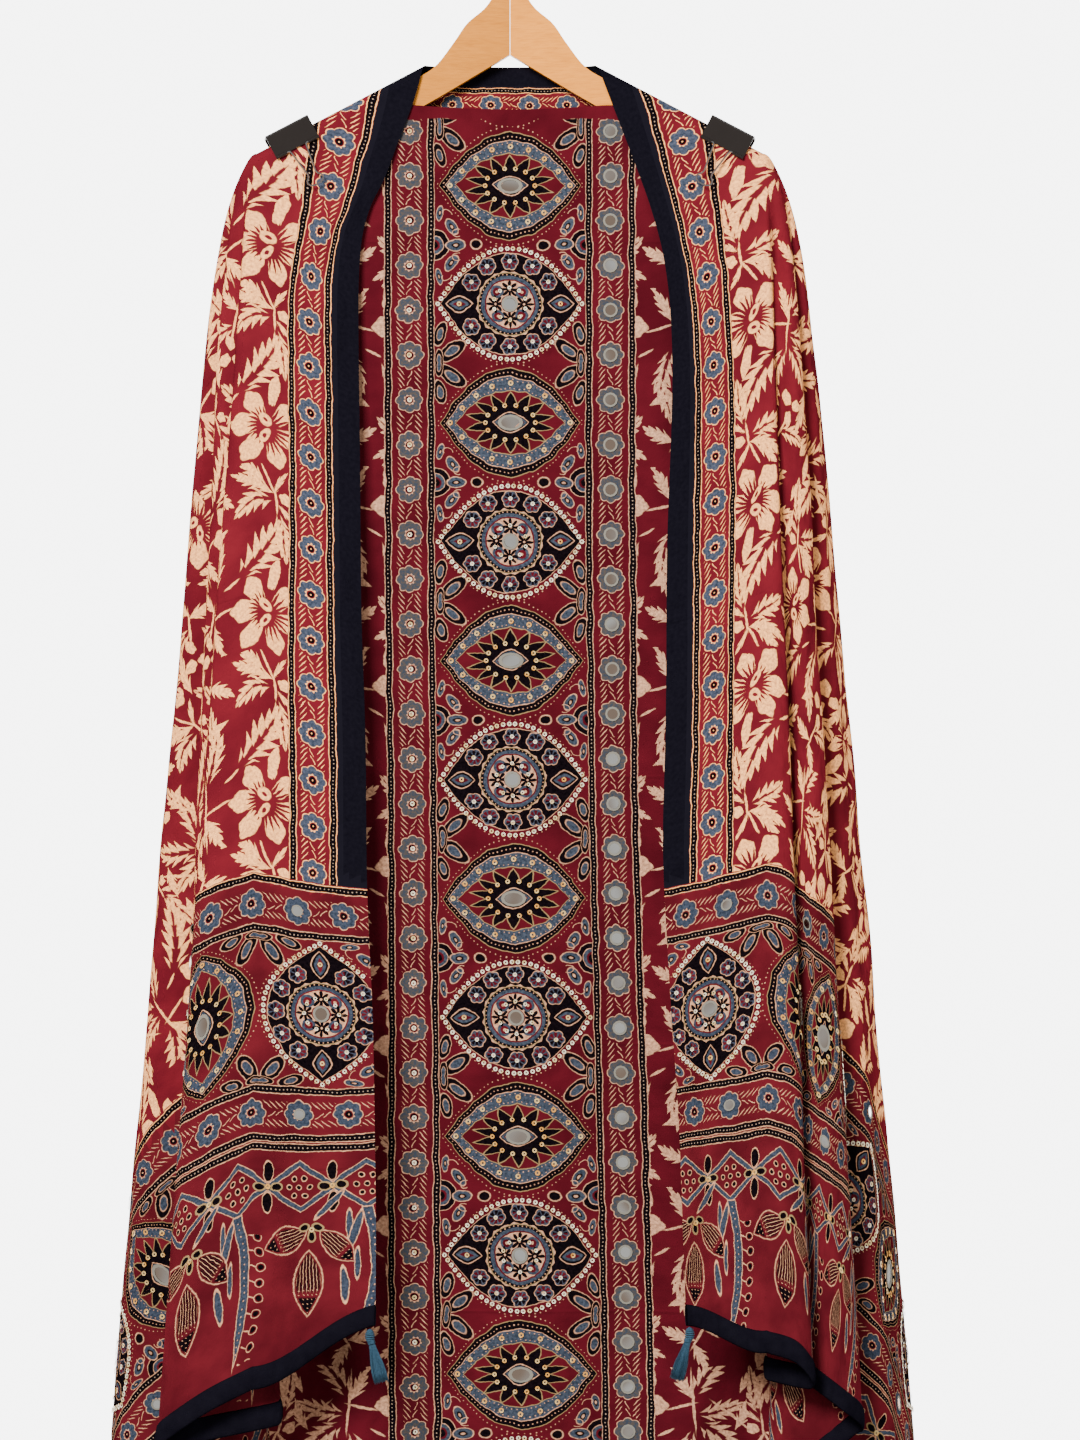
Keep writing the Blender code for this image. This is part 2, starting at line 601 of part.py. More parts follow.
def make_tassel(side, group):
    """A tied head with a skirt of three-sided strands rooted in it."""
    corner = shawl_point(side, SHAWL_HALF_LENGTH, 4 * MM)
    centre = corner - Vector((0, 0, 1.5 * TASSEL_HEAD_RADIUS + GAP - TASSEL_SEAT[side]))
    tilt = Matrix.Rotation(math.radians(TASSEL_TILT[side]), 3, "Y")
    head = bmesh.new()
    bmesh.ops.create_uvsphere(head, u_segments=12, v_segments=8, radius=TASSEL_HEAD_RADIUS)
    bmesh.ops.scale(head, verts=head.verts, vec=(1, 0.9, 1.5))
    mesh = bpy.data.meshes.new(f"tassel_{side}")
    head.to_mesh(mesh)
    head.free()
    made = add(f"tassel_{side}", mesh, "teal_thread", group)
    made.location = centre
    skirt = bmesh.new()
    for number, (count, root, hem) in enumerate(TASSEL_RINGS):
        for strand in range(count):
            angle = 2 * math.pi * (strand + 0.5 * number) / count
            start = Vector((root * math.cos(angle), 0.9 * root * math.sin(angle), -2.5 * MM))
            end = Vector((hem * math.cos(angle), 0.55 * hem * math.sin(angle),
                          -TASSEL_DROP + (strand % 3) * MM))
            end = tilt @ end
            made_cone = bmesh.ops.create_cone(
                skirt, cap_ends=True, segments=3, radius1=TASSEL_STRAND * 0.7, radius2=TASSEL_STRAND,
                depth=(end - start).length)
            turn = (end - start).to_track_quat("Z", "Y").to_matrix()
            bmesh.ops.rotate(skirt, verts=made_cone["verts"], matrix=turn)
            bmesh.ops.translate(skirt, verts=made_cone["verts"], vec=(start + end) / 2)
    bmesh.ops.recalc_face_normals(skirt, faces=skirt.faces)
    strands_mesh = bpy.data.meshes.new(f"strands {side}")
    skirt.to_mesh(strands_mesh)
    skirt.free()
    cutters = bpy.data.collections.get("tassel strands") or collection("tassel strands")
    strands = bpy.data.objects.new(f"strands {side}", strands_mesh)
    strands.location = centre
    strands.hide_render = True
    strands.display_type = "WIRE"
    cutters.objects.link(strands)
    join = made.modifiers.new("strands", "BOOLEAN")
    join.operation = "UNION"
    join.object = strands
    return made


def main():
    clear_scene()
    group = collection("ajrakh cloths on a hanger")
    make_hook(group)
    make_shawl(group)
    make_panel(group)
    for side in SIDES:
        make_arm(side, group)
        make_hem_band(side, group)
        make_tassel(side, group)
        make_clip_body(side, group)
        for facing in HANDLE_TILT:
            make_handle(side, facing, group)


main()
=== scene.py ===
# Looks for the ajrakh cloths on their wooden hanger: the printed shawl and the
# mirror-work panel as fine sheets, with bindings, tassels, wood and clips.

import math

import bmesh
import bpy
import numpy as np
from mathutils import Matrix, Vector, noise


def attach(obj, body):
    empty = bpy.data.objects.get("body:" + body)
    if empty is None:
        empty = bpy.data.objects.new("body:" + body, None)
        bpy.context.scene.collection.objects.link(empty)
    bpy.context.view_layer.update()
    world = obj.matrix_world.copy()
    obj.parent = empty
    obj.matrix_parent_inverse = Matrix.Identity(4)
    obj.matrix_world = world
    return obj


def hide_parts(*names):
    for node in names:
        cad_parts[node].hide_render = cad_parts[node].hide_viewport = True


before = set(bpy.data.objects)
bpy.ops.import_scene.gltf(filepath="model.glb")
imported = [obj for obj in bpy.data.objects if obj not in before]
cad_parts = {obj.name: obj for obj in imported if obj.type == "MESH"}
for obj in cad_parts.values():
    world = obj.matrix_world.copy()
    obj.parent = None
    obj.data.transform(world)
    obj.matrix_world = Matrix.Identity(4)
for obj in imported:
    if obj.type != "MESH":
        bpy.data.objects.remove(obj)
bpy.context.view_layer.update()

MM = 0.001
GAP = 0.3 * MM

# Hanger: two flat arms joined at a centre ridge, swept forwards to their tips. Heights
# count down from the inside top of the wire hook.
ARM_THICKNESS = 12 * MM
ARM_EDGE_ROUND = 2.5 * MM
ARM_SWEEP = 0.08
ARM_TOP = [  # distance out from the ridge, and depth
    (0, 70), (10, 72), (21, 89), (37, 103), (48, 119), (66, 141.5),
    (90, 155), (130, 175.3), (172, 196.5), (207, 214), (215, 219.5),
]
ARM_UNDERSIDE = [
    (217.5, 224), (215, 229), (207, 230), (172, 218.5), (130, 202), (81, 178), (0, 129.6),
]

# Shawl: cloth measured along its length from the middle of the back neck, and
# across its width from the neck edge.
SHAWL_HALF_LENGTH = 1169 * MM
SHAWL_WIDTH = 900 * MM
HEM_BAND = 18 * MM
NECK_ALONG = 85 * MM
NECK_OUT = 73 * MM
TIP_ALONG = 195 * MM
TIP_ACROSS = 95 * MM
TIP_OUT = 218 * MM
CREST_SLOPE = 0.53
CREST_AT_NECK = -139 * MM
NECK_TURN = 14 * MM
OVER_RADIUS = 10.5 * MM
SHOULDER_BULGE = 34 * MM
SHOULDER_REACH = 50 * MM
FOLD_START = 50 * MM
LAYER_FLOOR = 80 * MM
LAYER_RISE = (27 * MM, 95 * MM)

# The inner edge of each front: depth below the neck, distance out from the middle.
INNER_EDGE = {
    "left": [(0, 73), (35, 82), (70, 95), (105, 108), (130, 120), (160, 127), (220, 129),
             (460, 127), (590, 123), (720, 121), (830, 116), (950, 114), (1120, 114)],
    "right": [(0, 70), (40, 85), (90, 104), (130, 118), (170, 128), (220, 134), (290, 136),
              (430, 132), (590, 130), (690, 128), (820, 134), (900, 140), (1030, 145), (1120, 148)],
}
# How much longer the cloth's end runs away from its inner corner.
HEM_SLANT = {"left": 36 * MM, "right": 24 * MM}

# Folds below each shoulder tip: turn in degrees about the tip on the flat cloth, then
# out, forwards and extra drop, each for a metre of depth.
FOLDS = {
    "left": [
        (0, 0, 0.1, 0.05), (2.6, 0.04, 0.103, 0.07), (4.6, 0.071, 0.098, 0.09),
        (6.2, 0.076, 0.088, 0.095), (8, 0.064, 0.079, 0.09), (14, -0.033, 0.074, 0.05),
        (16, -0.042, 0.066, 0.035), (18, -0.032, 0.058, 0.02), (24.5, 0.036, 0.055, 0),
        (26.5, 0.044, 0.047, 0), (28.5, 0.034, 0.039, 0), (34.5, -0.034, 0.035, 0),
        (36.5, -0.042, 0.027, 0), (38.5, -0.032, 0.019, 0), (44, 0.07, 0.014, 0),
        (46.5, 0.088, -0.004, 0), (49.5, 0.078, -0.024, 0), (54, 0.02, -0.034, 0),
        (58, -0.034, -0.04, 0), (60, -0.04, -0.049, 0), (62, -0.03, -0.057, 0),
        (67.5, 0.044, -0.062, 0), (70, 0.052, -0.072, 0), (72.5, 0.04, -0.081, 0),
        (77.5, -0.012, -0.084, 0), (80, -0.018, -0.092, 0), (82.5, -0.006, -0.1, 0),
        (86.5, 0.034, -0.104, 0), (88.5, 0.034, -0.112, 0), (90, 0.018, -0.118, 0),
    ],
    "right": [
        (0, 0, 0.1, 0.032), (1.8, 0.024, 0.101, 0.04), (3.4, 0.036, 0.094, 0.055),
        (5.2, 0.03, 0.08, 0.06), (9, -0.008, 0.068, 0.045), (11, -0.01, 0.059, 0.035),
        (13, 0.004, 0.056, 0.025), (18, 0.032, 0.075, 0.02), (21.5, 0.052, 0.07, 0.015),
        (23.5, 0.056, 0.059, 0.01), (25.5, 0.046, 0.049, 0), (31, -0.018, 0.04, 0),
        (33, -0.026, 0.031, 0), (35, -0.016, 0.023, 0), (40, 0.066, 0.024, 0),
        (42.3, 0.078, 0.01, 0), (44.5, 0.086, 0.004, 0), (46.5, 0.092, -0.01, 0),
        (49.5, 0.08, -0.028, 0), (54, 0.02, -0.038, 0), (57.5, -0.03, -0.043, 0),
        (59.5, -0.036, -0.052, 0), (61.5, -0.026, -0.06, 0), (67, 0.044, -0.066, 0),
        (69.5, 0.052, -0.076, 0), (72, 0.04, -0.085, 0), (77, -0.012, -0.088, 0),
        (79.5, -0.018, -0.096, 0), (82, -0.006, -0.103, 0), (86, 0.036, -0.106, 0),
        (88.5, 0.034, -0.113, 0), (90, 0.018, -0.118, 0),
    ],
}
BACK_FOLD_DEPTH = 0.016
BACK_FOLD_WIDTH = 118 * MM
BACK_SWING = 0.05
FRONT_WAVE = 0.01

# Panel: hung inside the shawl and in front of the arms, its neck edge sagging
# between them and its shoulders gripped by the clips.
PANEL_HALF_WIDTH = 205 * MM
PANEL_NECK_Z = -174 * MM
PANEL_NECK_SAG = 3 * MM
PANEL_BELOW_CREST = 6.5 * MM
PANEL_AHEAD = 8.6 * MM
PANEL_HEM_Z = -1376 * MM
PANEL_FLAT_Y = -22 * MM
PANEL_FOLD = 5 * MM
PANEL_SIDE_FOLD = 8 * MM
PANEL_LEAN = 10 * MM
PANEL_FLARE = 0.06

# Tassels on the two inner corners of the hem.
TASSEL_DROP = 41 * MM
TASSEL_HEAD_RADIUS = 3.6 * MM
TASSEL_TILT = {"left": -14, "right": 16}
TASSEL_SEAT = {"left": -1 * MM, "right": -0.3 * MM}
TASSEL_STRANDS = 130
TASSEL_SPREAD = 6.2 * MM
TASSEL_NECK = (2.9 * MM, 2.5 * MM)
GOLDEN_TURN = 2.39996

# Bindings: how far each is tucked over the cloth, and how far it puffs out.
BINDING_TUCK = 1 * MM
BINDING_PUFF = 2.1 * MM

SIDES = {"left": -1, "right": 1}


def mix(a, b, share):
    return a + (b - a) * share


def smoothstep(low, high, value):
    share = min(1, max(0, (value - low) / (high - low)))
    return share * share * (3 - 2 * share)


def smooth_row(table, key):
    """The row of a table at key, by a smooth curve through its rows."""
    keys = [row[0] for row in table]
    last = len(table) - 1
    key = min(max(key, keys[0]), keys[last])
    at = min(max(int(np.searchsorted(keys, key, side="right")) - 1, 0), last - 1)
    span = keys[at + 1] - keys[at]
    share = (key - keys[at]) / span

    def slope(row, column):
        before, after = max(row - 1, 0), min(row + 1, last)
        return (table[after][column] - table[before][column]) / (keys[after] - keys[before])

    values = []
    for column in range(1, len(table[0])):
        start, end = table[at][column], table[at + 1][column]
        rise, fall = slope(at, column) * span, slope(at + 1, column) * span
        cube, square = share ** 3, share ** 2
        values.append(
            (2 * cube - 3 * square + 1) * start + (cube - 2 * square + share) * rise
            + (3 * square - 2 * cube) * end + (cube - square) * fall
        )
    return values


def over_edge(distance, radius):
    """How far out and down a cloth is, that distance past the crest it hangs over."""
    quarter = math.pi / 2 * radius
    if distance < quarter:
        return radius * math.sin(distance / radius), radius * (1 - math.cos(distance / radius))
    return radius, radius + distance - quarter


def crest(out):
    return CREST_AT_NECK - (out - NECK_OUT) * CREST_SLOPE


def arm_y(out):
    return -ARM_SWEEP * out


def fold_growth(depth):
    return depth * depth / (depth + FOLD_START)


def layer_growth(depth):
    return (depth + LAYER_FLOOR) * smoothstep(*LAYER_RISE, depth)


def front_point(side, along, across):
    share = across / TIP_ACROSS
    depth = along - mix(NECK_ALONG, TIP_ALONG, share)
    top = mix(NECK_OUT, TIP_OUT, share)
    ahead, down = over_edge(depth, OVER_RADIUS)
    inner = smooth_row(INNER_EDGE[side], depth / MM)[0] * MM
    _, forward, drop = smooth_row(FOLDS[side], 0)
    wave = FRONT_WAVE * math.sin(math.pi * share) * math.sin(2.3 * share + 4 * depth)
    return (
        top + (inner - INNER_EDGE[side][0][1] * MM) * (1 - share),
        arm_y(top) - ahead - fold_growth(depth) * (forward + wave),
        crest(top) - down - drop * depth ** 2 * share,
    )


def side_point(side, along, across):
    depth = math.hypot(along - TIP_ALONG, across - TIP_ACROSS)
    turn = math.degrees(math.atan2(across - TIP_ACROSS, along - TIP_ALONG))
    out, forward, drop = smooth_row(FOLDS[side], turn)
    first_forward = FOLDS[side][0][2]
    facing = math.radians(2 * turn - 90)
    ahead, down = over_edge(depth, OVER_RADIUS)
    bulge = SHOULDER_BULGE * (1 - math.exp(-depth / SHOULDER_REACH))
    return (
        TIP_OUT + bulge * math.cos(facing) + fold_growth(depth) * out,
        arm_y(TIP_OUT) + ahead * math.sin(facing) - fold_growth(depth) * first_forward
        + layer_growth(depth) * (first_forward - forward),
        crest(TIP_OUT) - down - drop * depth ** 2,
    )


def back_point(side, along, across):
    share = (along - NECK_ALONG) / (TIP_ALONG - NECK_ALONG)
    top = mix(NECK_OUT, TIP_OUT, share) if share > 0 else NECK_OUT * along / NECK_ALONG
    depth = across - max(share, 0) * TIP_ACROSS
    behind, down = over_edge(depth, OVER_RADIUS)
    if share < 0:
        seated = smoothstep(NECK_ALONG - NECK_TURN, NECK_ALONG, along)
        behind, down = mix(OVER_RADIUS, behind, seated), mix(depth, down, seated)
    reach = along / TIP_ALONG
    first_forward = FOLDS[side][0][2]
    end_out, end_forward, _ = smooth_row(FOLDS[side], 90)
    fold = BACK_FOLD_DEPTH * math.sin(2 * math.pi * (TIP_ALONG - along) / BACK_FOLD_WIDTH)
    swing = mix(BACK_SWING, first_forward - end_forward, reach ** 2)
    return (
        top + fold_growth(depth) * end_out * reach ** 2,
        arm_y(top) + behind - fold_growth(depth) * (first_forward * reach ** 2 - fold)
        + layer_growth(depth) * swing,
        crest(max(top, NECK_OUT)) - down,
    )


def shawl_point(side, along, across):
    """Where a point of the flat shawl hangs."""
    arm_along = mix(NECK_ALONG, TIP_ALONG, across / TIP_ACROSS)
    if across <= TIP_ACROSS and along >= arm_along - 1e-9:
        out, y, z = front_point(side, along, across)
    elif along >= TIP_ALONG and across >= TIP_ACROSS:
        out, y, z = side_point(side, along, across)
    else:
        out, y, z = back_point(side, along, across)
    return Vector((SIDES[side] * out, y, z))


def cloth_end(side, across):
    """Length from the back neck to where the hem band starts."""
    slant = HEM_SLANT[side] * smoothstep(0, TIP_ACROSS, across)
    return SHAWL_HALF_LENGTH - HEM_BAND + slant


def corner_turn(side):
    reach = cloth_end(side, SHAWL_WIDTH) - TIP_ALONG
    return math.degrees(math.atan2(SHAWL_WIDTH - TIP_ACROSS, reach))


def side_turns(side):
    """Turns of the hanging lines between the front and the back, the corner's among them."""
    keys = [row[0] for row in FOLDS[side]]
    turns = []
    for low, high in zip(keys, keys[1:]):
        steps = 2 if high - low > 3.2 else 1
        turns += [mix(low, high, step / steps) for step in range(steps)]
    corner = corner_turn(side)
    nearest = min(turns[1:], key=lambda turn: abs(turn - corner))
    turns[turns.index(nearest)] = corner
    return sorted(turns) + [90]


def panel_top(across):
    """Level between the arms, then just below the crest, in front of them."""
    out = abs(across)
    level = PANEL_NECK_Z - PANEL_NECK_SAG * (1 - min(out / (80 * MM), 1) ** 2)
    return min(level, crest(out) - PANEL_BELOW_CREST)


def panel_point(across, depth):
    """Where a point of the panel hangs: across from its middle and down from its top."""
    out = abs(across)
    away = smoothstep(20 * MM, 260 * MM, depth)
    fullness = smoothstep(60 * MM, 1000 * MM, depth)
    fold = PANEL_FOLD * math.sin(across / (23 * MM) + 1.1)
    side_fold = PANEL_SIDE_FOLD * math.sin(out / (17 * MM) + 0.6)
    side_fold *= smoothstep(100 * MM, 140 * MM, out)
    y = mix(arm_y(out) - PANEL_AHEAD, PANEL_FLAT_Y, away) - fullness * (fold + side_fold)
    lean = PANEL_LEAN * smoothstep(300 * MM, 1200 * MM, depth)
    flare = 1 + PANEL_FLARE * smoothstep(500 * MM, 1150 * MM, depth)
    return Vector((across * flare + lean, y, panel_top(across) - depth))


# Print: places in the cloth's own millimetres.
NECK_BAND = 24
STRIPE = (31, 58)
FIELD_EDGE = 65
FLOWER_PITCH = 38.6
DOT_PITCH = 3.3
# Along the shawl's ends: where each zone lies, and the printed lines between them.
END_ZONES = {"start": 799, "flowers": (808, 840), "flowers_2": (973, 1005), "toran": 1020}
END_LINES = (803, 843, 970, 1008.5, 1016)
EDGE_LINES = (27.5, 61.5)
PANEL_LINES = (68, 105)
FIELD_DROP = 154.6
FIELD_WIDTH = 118
PANEL_ZONES = {"medallions": 65, "stripe": (71, 102), "field": 108}
MEDALLION_PITCH = 102.3
PANEL_EYE = 66
END_MIDDLE = 906.5
END_ROUND = 39
END_STRETCH = 1.07
# Half width, half height and fullness of the medallions' outlines.
WHEEL_RIM = (62, 47.9, 2.1)
EYE_RIM = (61, 47.5, 2.05)
WHEEL_ROSETTES = ((0, 37), (19.5, 32.5), (33, 19))
WHEEL_DROP = 43.5

# Dyes: dark and light of each, as the cloth takes them unevenly.
DYES = {
    "field": {"red": ((0.07, 0.005, 0.0086), (0.102, 0.0074, 0.0118)),
              "cream": ((0.42, 0.172, 0.072), (0.96, 0.43, 0.14)),
              "blue": ((0.012, 0.017, 0.027), (0.05, 0.057, 0.08))},
    "end": {"red": ((0.044, 0.0036, 0.006), (0.076, 0.0064, 0.0098)),
            "cream": ((0.2, 0.098, 0.055), (0.52, 0.265, 0.145)),
            "blue": ((0.009, 0.013, 0.021), (0.036, 0.044, 0.062))},
    # The panel's set is darker than the shawl's as painted shade: the panel hangs back behind the
    # shawl's fronts, where less light reaches it.
    "panel": {"red": ((0.038, 0.0028, 0.0052), (0.058, 0.0042, 0.0076)),
              "cream": ((0.19, 0.094, 0.056), (0.48, 0.25, 0.145)),
              "blue": ((0.009, 0.013, 0.02), (0.04, 0.048, 0.064))},
}
INK = ((0.001, 0.0007, 0.0011), (0.0046, 0.0026, 0.0036))
NAVY = ((0.002, 0.0017, 0.0032), (0.0048, 0.0042, 0.0068))
TEAL = ((0.006, 0.018, 0.03), (0.034, 0.074, 0.11))
SILVER = (0.045, 0.036, 0.031)
DOT = (0.23, 0.16, 0.11)
# Gold thread, dark and light: the light tone makes the painted glints of its metal.
GOLD = ((0.05, 0.028, 0.012), (0.33, 0.215, 0.095))


def grid_sheet(name, columns, rows, place, flat_place):
    """A grid mesh at place(column, row), with its flat cloth position as UV."""
    points = [place(column, row) for row in range(rows + 1) for column in range(columns + 1)]
    flat = [flat_place(column, row) for row in range(rows + 1) for column in range(columns + 1)]
    faces = []
    for row in range(rows):
        for column in range(columns):
            first = row * (columns + 1) + column
            faces.append((first, first + columns + 1, first + columns + 2, first + 1))
    mesh = bpy.data.meshes.new(name)
    mesh.from_pydata(points, [], faces)
    cloth = mesh.uv_layers.new(name="cloth")
    flat = np.array(flat, dtype=np.float32)
    corners = np.empty(len(mesh.loops), dtype=np.int32)
    mesh.loops.foreach_get("vertex_index", corners)
    cloth.data.foreach_set("uv", flat[corners].ravel())
    return mesh


def weld(mesh):
    work = bmesh.new()
    work.from_mesh(mesh)
    bmesh.ops.remove_doubles(work, verts=work.verts, dist=0.02 * MM)
    bmesh.ops.dissolve_degenerate(work, edges=work.edges, dist=0.01 * MM)
    work.to_mesh(mesh)
    work.free()
    mesh.shade_smooth()
    return mesh


def put(name, data):
    made = bpy.data.objects.new(name, data)
    bpy.context.scene.collection.objects.link(made)
    return made


def piece(name, mesh, slot, replaced, *finishes):
    made = put(name, mesh)
    for finish_ in finishes:
        mesh.materials.append(finish_)
    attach(made, "root")
    if replaced:
        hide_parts(replaced)
    return made


# Shaders: a small arithmetic over sockets.
def operator(operation, reflected=False):
    """An operator of Num that adds a Math node."""
    def apply(self, other):
        return calc(operation, other, self) if reflected else calc(operation, self, other)
    return apply


class Num:
    """One value in a shader, so that a print is written as plain arithmetic."""

    tree = None

    def __init__(self, socket):
        self.socket = socket

    def __abs__(self):
        return calc("ABSOLUTE", self)

    def __invert__(self):
        return calc("SUBTRACT", 1, self)

    __add__ = __radd__ = operator("ADD")
    __sub__, __rsub__ = operator("SUBTRACT"), operator("SUBTRACT", reflected=True)
    __mul__ = __rmul__ = __and__ = operator("MULTIPLY")
    __truediv__, __rtruediv__ = operator("DIVIDE"), operator("DIVIDE", reflected=True)
    __mod__ = operator("FLOORED_MODULO")
    __or__ = operator("MAXIMUM")


def node(kind, *inputs, out=0, **settings):
    """Adds a node, with its inputs in order and None for those left alone."""
    made = Num.tree.nodes.new("ShaderNode" + kind)
    for name, value in settings.items():
        setattr(made, name, value)
    for at, value in enumerate(inputs):
        if isinstance(value, Num):
            Num.tree.links.new(value.socket, made.inputs[at])
        elif value is not None:
            made.inputs[at].default_value = value
    return Num(made.outputs[out])


def calc(operation, *values):
    return node("Math", *values, operation=operation)


def faded(value, edge, soft, *ends):
    return node("MapRange", value, edge - soft, edge + soft, *ends, interpolation_type="SMOOTHSTEP")


def below(value, edge, soft=0.25):
    """1 where value is under edge, fading over a soft rim."""
    return faded(value, edge, soft, 1, 0)


def above(value, edge, soft=0.25):
    return faded(value, edge, soft, 0, 1)


def within(value, low, high, soft=0.25):
    return below(abs(value - (low + high) / 2), (high - low) / 2, soft)


def vector(x, y):
    return node("CombineXYZ", x, y, 0)


def parts(at):
    split = node("SeparateXYZ", at)
    return split, Num(split.socket.node.outputs[1])


def moved(at, x, y, turn=0, wide=1, tall=1):
    """The place in a motif's own axes: x along it, in units of wide and tall."""
    return node("Mapping", at, (x, y, 0), (0, 0, math.radians(turn)), (wide, tall, 1),
                vector_type="TEXTURE")


def length(at):
    return node("VectorMath", at, operation="LENGTH", out=1)


def angle(x, y):
    return calc("ARCTAN2", y, x)


def blend(share, first, second):
    """A colour between two, by share of the second."""
    mixer = Num.tree.nodes.new("ShaderNodeMix")
    mixer.data_type = "RGBA"
    for at, value in ((0, share), (6, first), (7, second)):
        if isinstance(value, Num):
            Num.tree.links.new(value.socket, mixer.inputs[at])
        else:
            mixer.inputs[at].default_value = (*value, 1) if isinstance(value, tuple) else value
    return Num(mixer.outputs[2])


def finish(name, roughness=0.6, metallic=0):
    made = bpy.data.materials.new(name)
    made.use_nodes = True
    Num.tree = made.node_tree
    shader = made.node_tree.nodes["Principled BSDF"]
    shader.inputs["Roughness"].default_value = roughness
    shader.inputs["Metallic"].default_value = metallic
    return made, shader


def wire_in(shader, socket, value):
    Num.tree.links.new(value.socket, shader.inputs[socket])


def noisy(at, scale, detail=2, out=0, rough=0.5):
    return node("TexNoise", at, None, scale, detail, rough, out=out)


def ellipse(at, x, y, turn, wide, tall, soft=0.06):
    return below(length(moved(at, x, y, turn, wide, tall)), 1, soft)


def lobed(at, x, y, turn, wide, tall):
    """A petal with a few notches at its outer end."""
    along, across = parts(moved(at, x, y, turn, wide, tall))
    nick = 0.17 * calc("PINGPONG", angle(along, across) * 1.6, 1)
    return below(length(vector(along, across)) + nick, 1, 0.05)


def leaf(at, x, y, turn, size, width, teeth, bend, vein):
    """A saw-edged leaf from its stalk at x, y, with a saw-edged bare vein where vein is not 0."""
    along, across = parts(moved(at, x, y, turn, size, width))
    body = 4 * along * (1 - along)
    if bend:
        across = across + bend * body
    away = abs(across)
    saw = 1 - calc("FRACT", along * teeth - 0.8 * away)
    mask = below(away - body + 0.6 * saw * body, 0, 0.04)
    if vein:
        bare = vein * (1.05 - along) * (1 - 0.6 * saw)
        mask = mask & above(away - bare, 0, 0.05)
    return mask


def many(masks):
    total = masks[0]
    for mask in masks[1:]:
        total = total | mask
    return total


def hand_worn(at):
    """Bends the flat cloth's millimetres a little, as hand-cut blocks print."""
    slow = noisy(at, 0.045, 1, out=1)
    fast = noisy(at, 0.28, 1, out=1)
    bend = node("VectorMath", slow, (0.5, 0.5, 0.5), operation="SUBTRACT")
    shiver = node("VectorMath", fast, (0.5, 0.5, 0.5), operation="SUBTRACT")
    near = node("VectorMath", bend, (4, 4, 0), at, operation="MULTIPLY_ADD")
    return node("VectorMath", shiver, (1.3, 1.3, 0), near, operation="MULTIPLY_ADD")


# Field: a half-drop repeat of a fringed flower and saw-edged leaves. Each leaf row is
# place across and along, turn, length, half width, teeth, bend, vein.
FIELD_LEAVES = [
    (27, 26, 126, 70, 14.7, 6.4, -0.3, 0.4), (-5, 96, -28, 38, 10.1, 4.6, -0.45, 0.28),
    (-6, 102, 20, 40, 6.9, 5.2, 0.3, 0), (-9, 88, -101, 44, 8.6, 5, 0.2, 0.34),
    (-6, 102, 122, 24, 3.1, 2.4, 0.2, 0), (-10, 93, -140, 18, 3.1, 2.4, 0, 0),
    (2, 108, 40, 30, 6.2, 4, 0.3, 0), (38, 44, 70, 44, 8.6, 5, 0.3, 0.3),
    (54, -6, -50, 46, 10.8, 5.2, 0.3, 0.4), (53, -4, -118, 30, 6.9, 4, 0, 0),
    (56, 8, -12, 42, 9.3, 5, -0.3, 0.32), (57, 16, 42, 48, 11.6, 5.6, 0.35, 0.4),
    (54, 20, 102, 50, 9.3, 5.4, -0.3, 0.34), (61, 92, 4, 40, 9.3, 4.8, 0.3, 0.32),
    (56, 100, -155, 30, 6.9, 4, 0.3, 0), (54, 102, 60, 26, 6.2, 3.6, 0, 0),
    (95, 46, 104, 44, 7.7, 4.6, 0.3, 0), (40, -26, -100, 26, 5, 3.2, 0.3, 0),
    (88, 24, -70, 30, 5.4, 3.6, -0.3, 0), (34, 70, -20, 22, 4.5, 3, 0.2, 0),
    (92, -8, -60, 24, 4.5, 3, 0.3, 0),
]
# Petals: place, turn, half length, half width.
FIELD_PETALS = [
    (14, -19, -52, 13, 9.5), (-8, -20, -109, 12, 9), (20, 1, 4, 13.5, 9.5), (11, 17, 58, 12.5, 9),
    (-7, 33, 103, 15, 5), (-16, 16, 131, 14, 7.5), (-17, -4, 180, 12, 8), (-17, 99, 20, 7, 5),
    (66, 62, 30, 8, 6), (81, 66, -20, 7, 5.5), (71, 79, 80, 7, 5),
]
FIELD_STEMS = [
    (-1, 112, 60, 26), (54, -2, 86, 54), (62, 92, 122, 36), (-8, 95, 84, 20), (31, 24, 150, 14),
    (44, 2, -14, 26), (84, 10, 40, 40),
]


def field_print(at):
    """1 where the field is left cream."""
    across, along = parts(at)
    column = calc("FLOOR", (across - FIELD_EDGE) / FIELD_WIDTH)
    x = (across - FIELD_EDGE - 20) - column * FIELD_WIDTH
    y = (along + 77.3 * column) % FIELD_DROP - 32
    cell = vector(x, y)
    masks = [leaf(cell, *row) for row in FIELD_LEAVES]
    masks += [lobed(cell, *row) for row in FIELD_PETALS]
    masks += [ellipse(cell, x0, y0, turn, size / 2, 1.1, 0.2) for x0, y0, turn, size in FIELD_STEMS]
    spread = angle(x, y) * 8
    fringe = 9 + (9 + 6 * below(x, 0, 4)) * calc("PINGPONG", spread, 1)
    cream = many(masks) & above(length(cell) - fringe, 0, 0.6)
    for x0, y0, turn, size, wide in ((1.5, -6.5, 127, 7.5, 3.2), (1, 6.5, 20, 6, 5)):
        cream = cream | (ellipse(cell, x0, y0, turn, size, wide, 0.1)
                         & ~ellipse(cell, x0, y0, turn, 2.6, 1.5, 0.2))
    return cream


def paint(colour, layers):
    for mask, tone in layers:
        colour = blend(mask, colour, tone)
    return colour


def nested(colour, value, steps, soft=0.25):
    """Paints shapes inside each other: a tone wherever value is under its edge."""
    return paint(colour, [(below(value, edge, soft), tone) for edge, tone in steps])


def edged(colour, at, rows, outline, fill, thick=0.87):
    """Paints ovals in one tone with an outline in another."""
    for row in rows:
        colour = nested(colour, length(moved(at, *row)), [(1, outline), (thick, fill)], 0.05)
    return colour


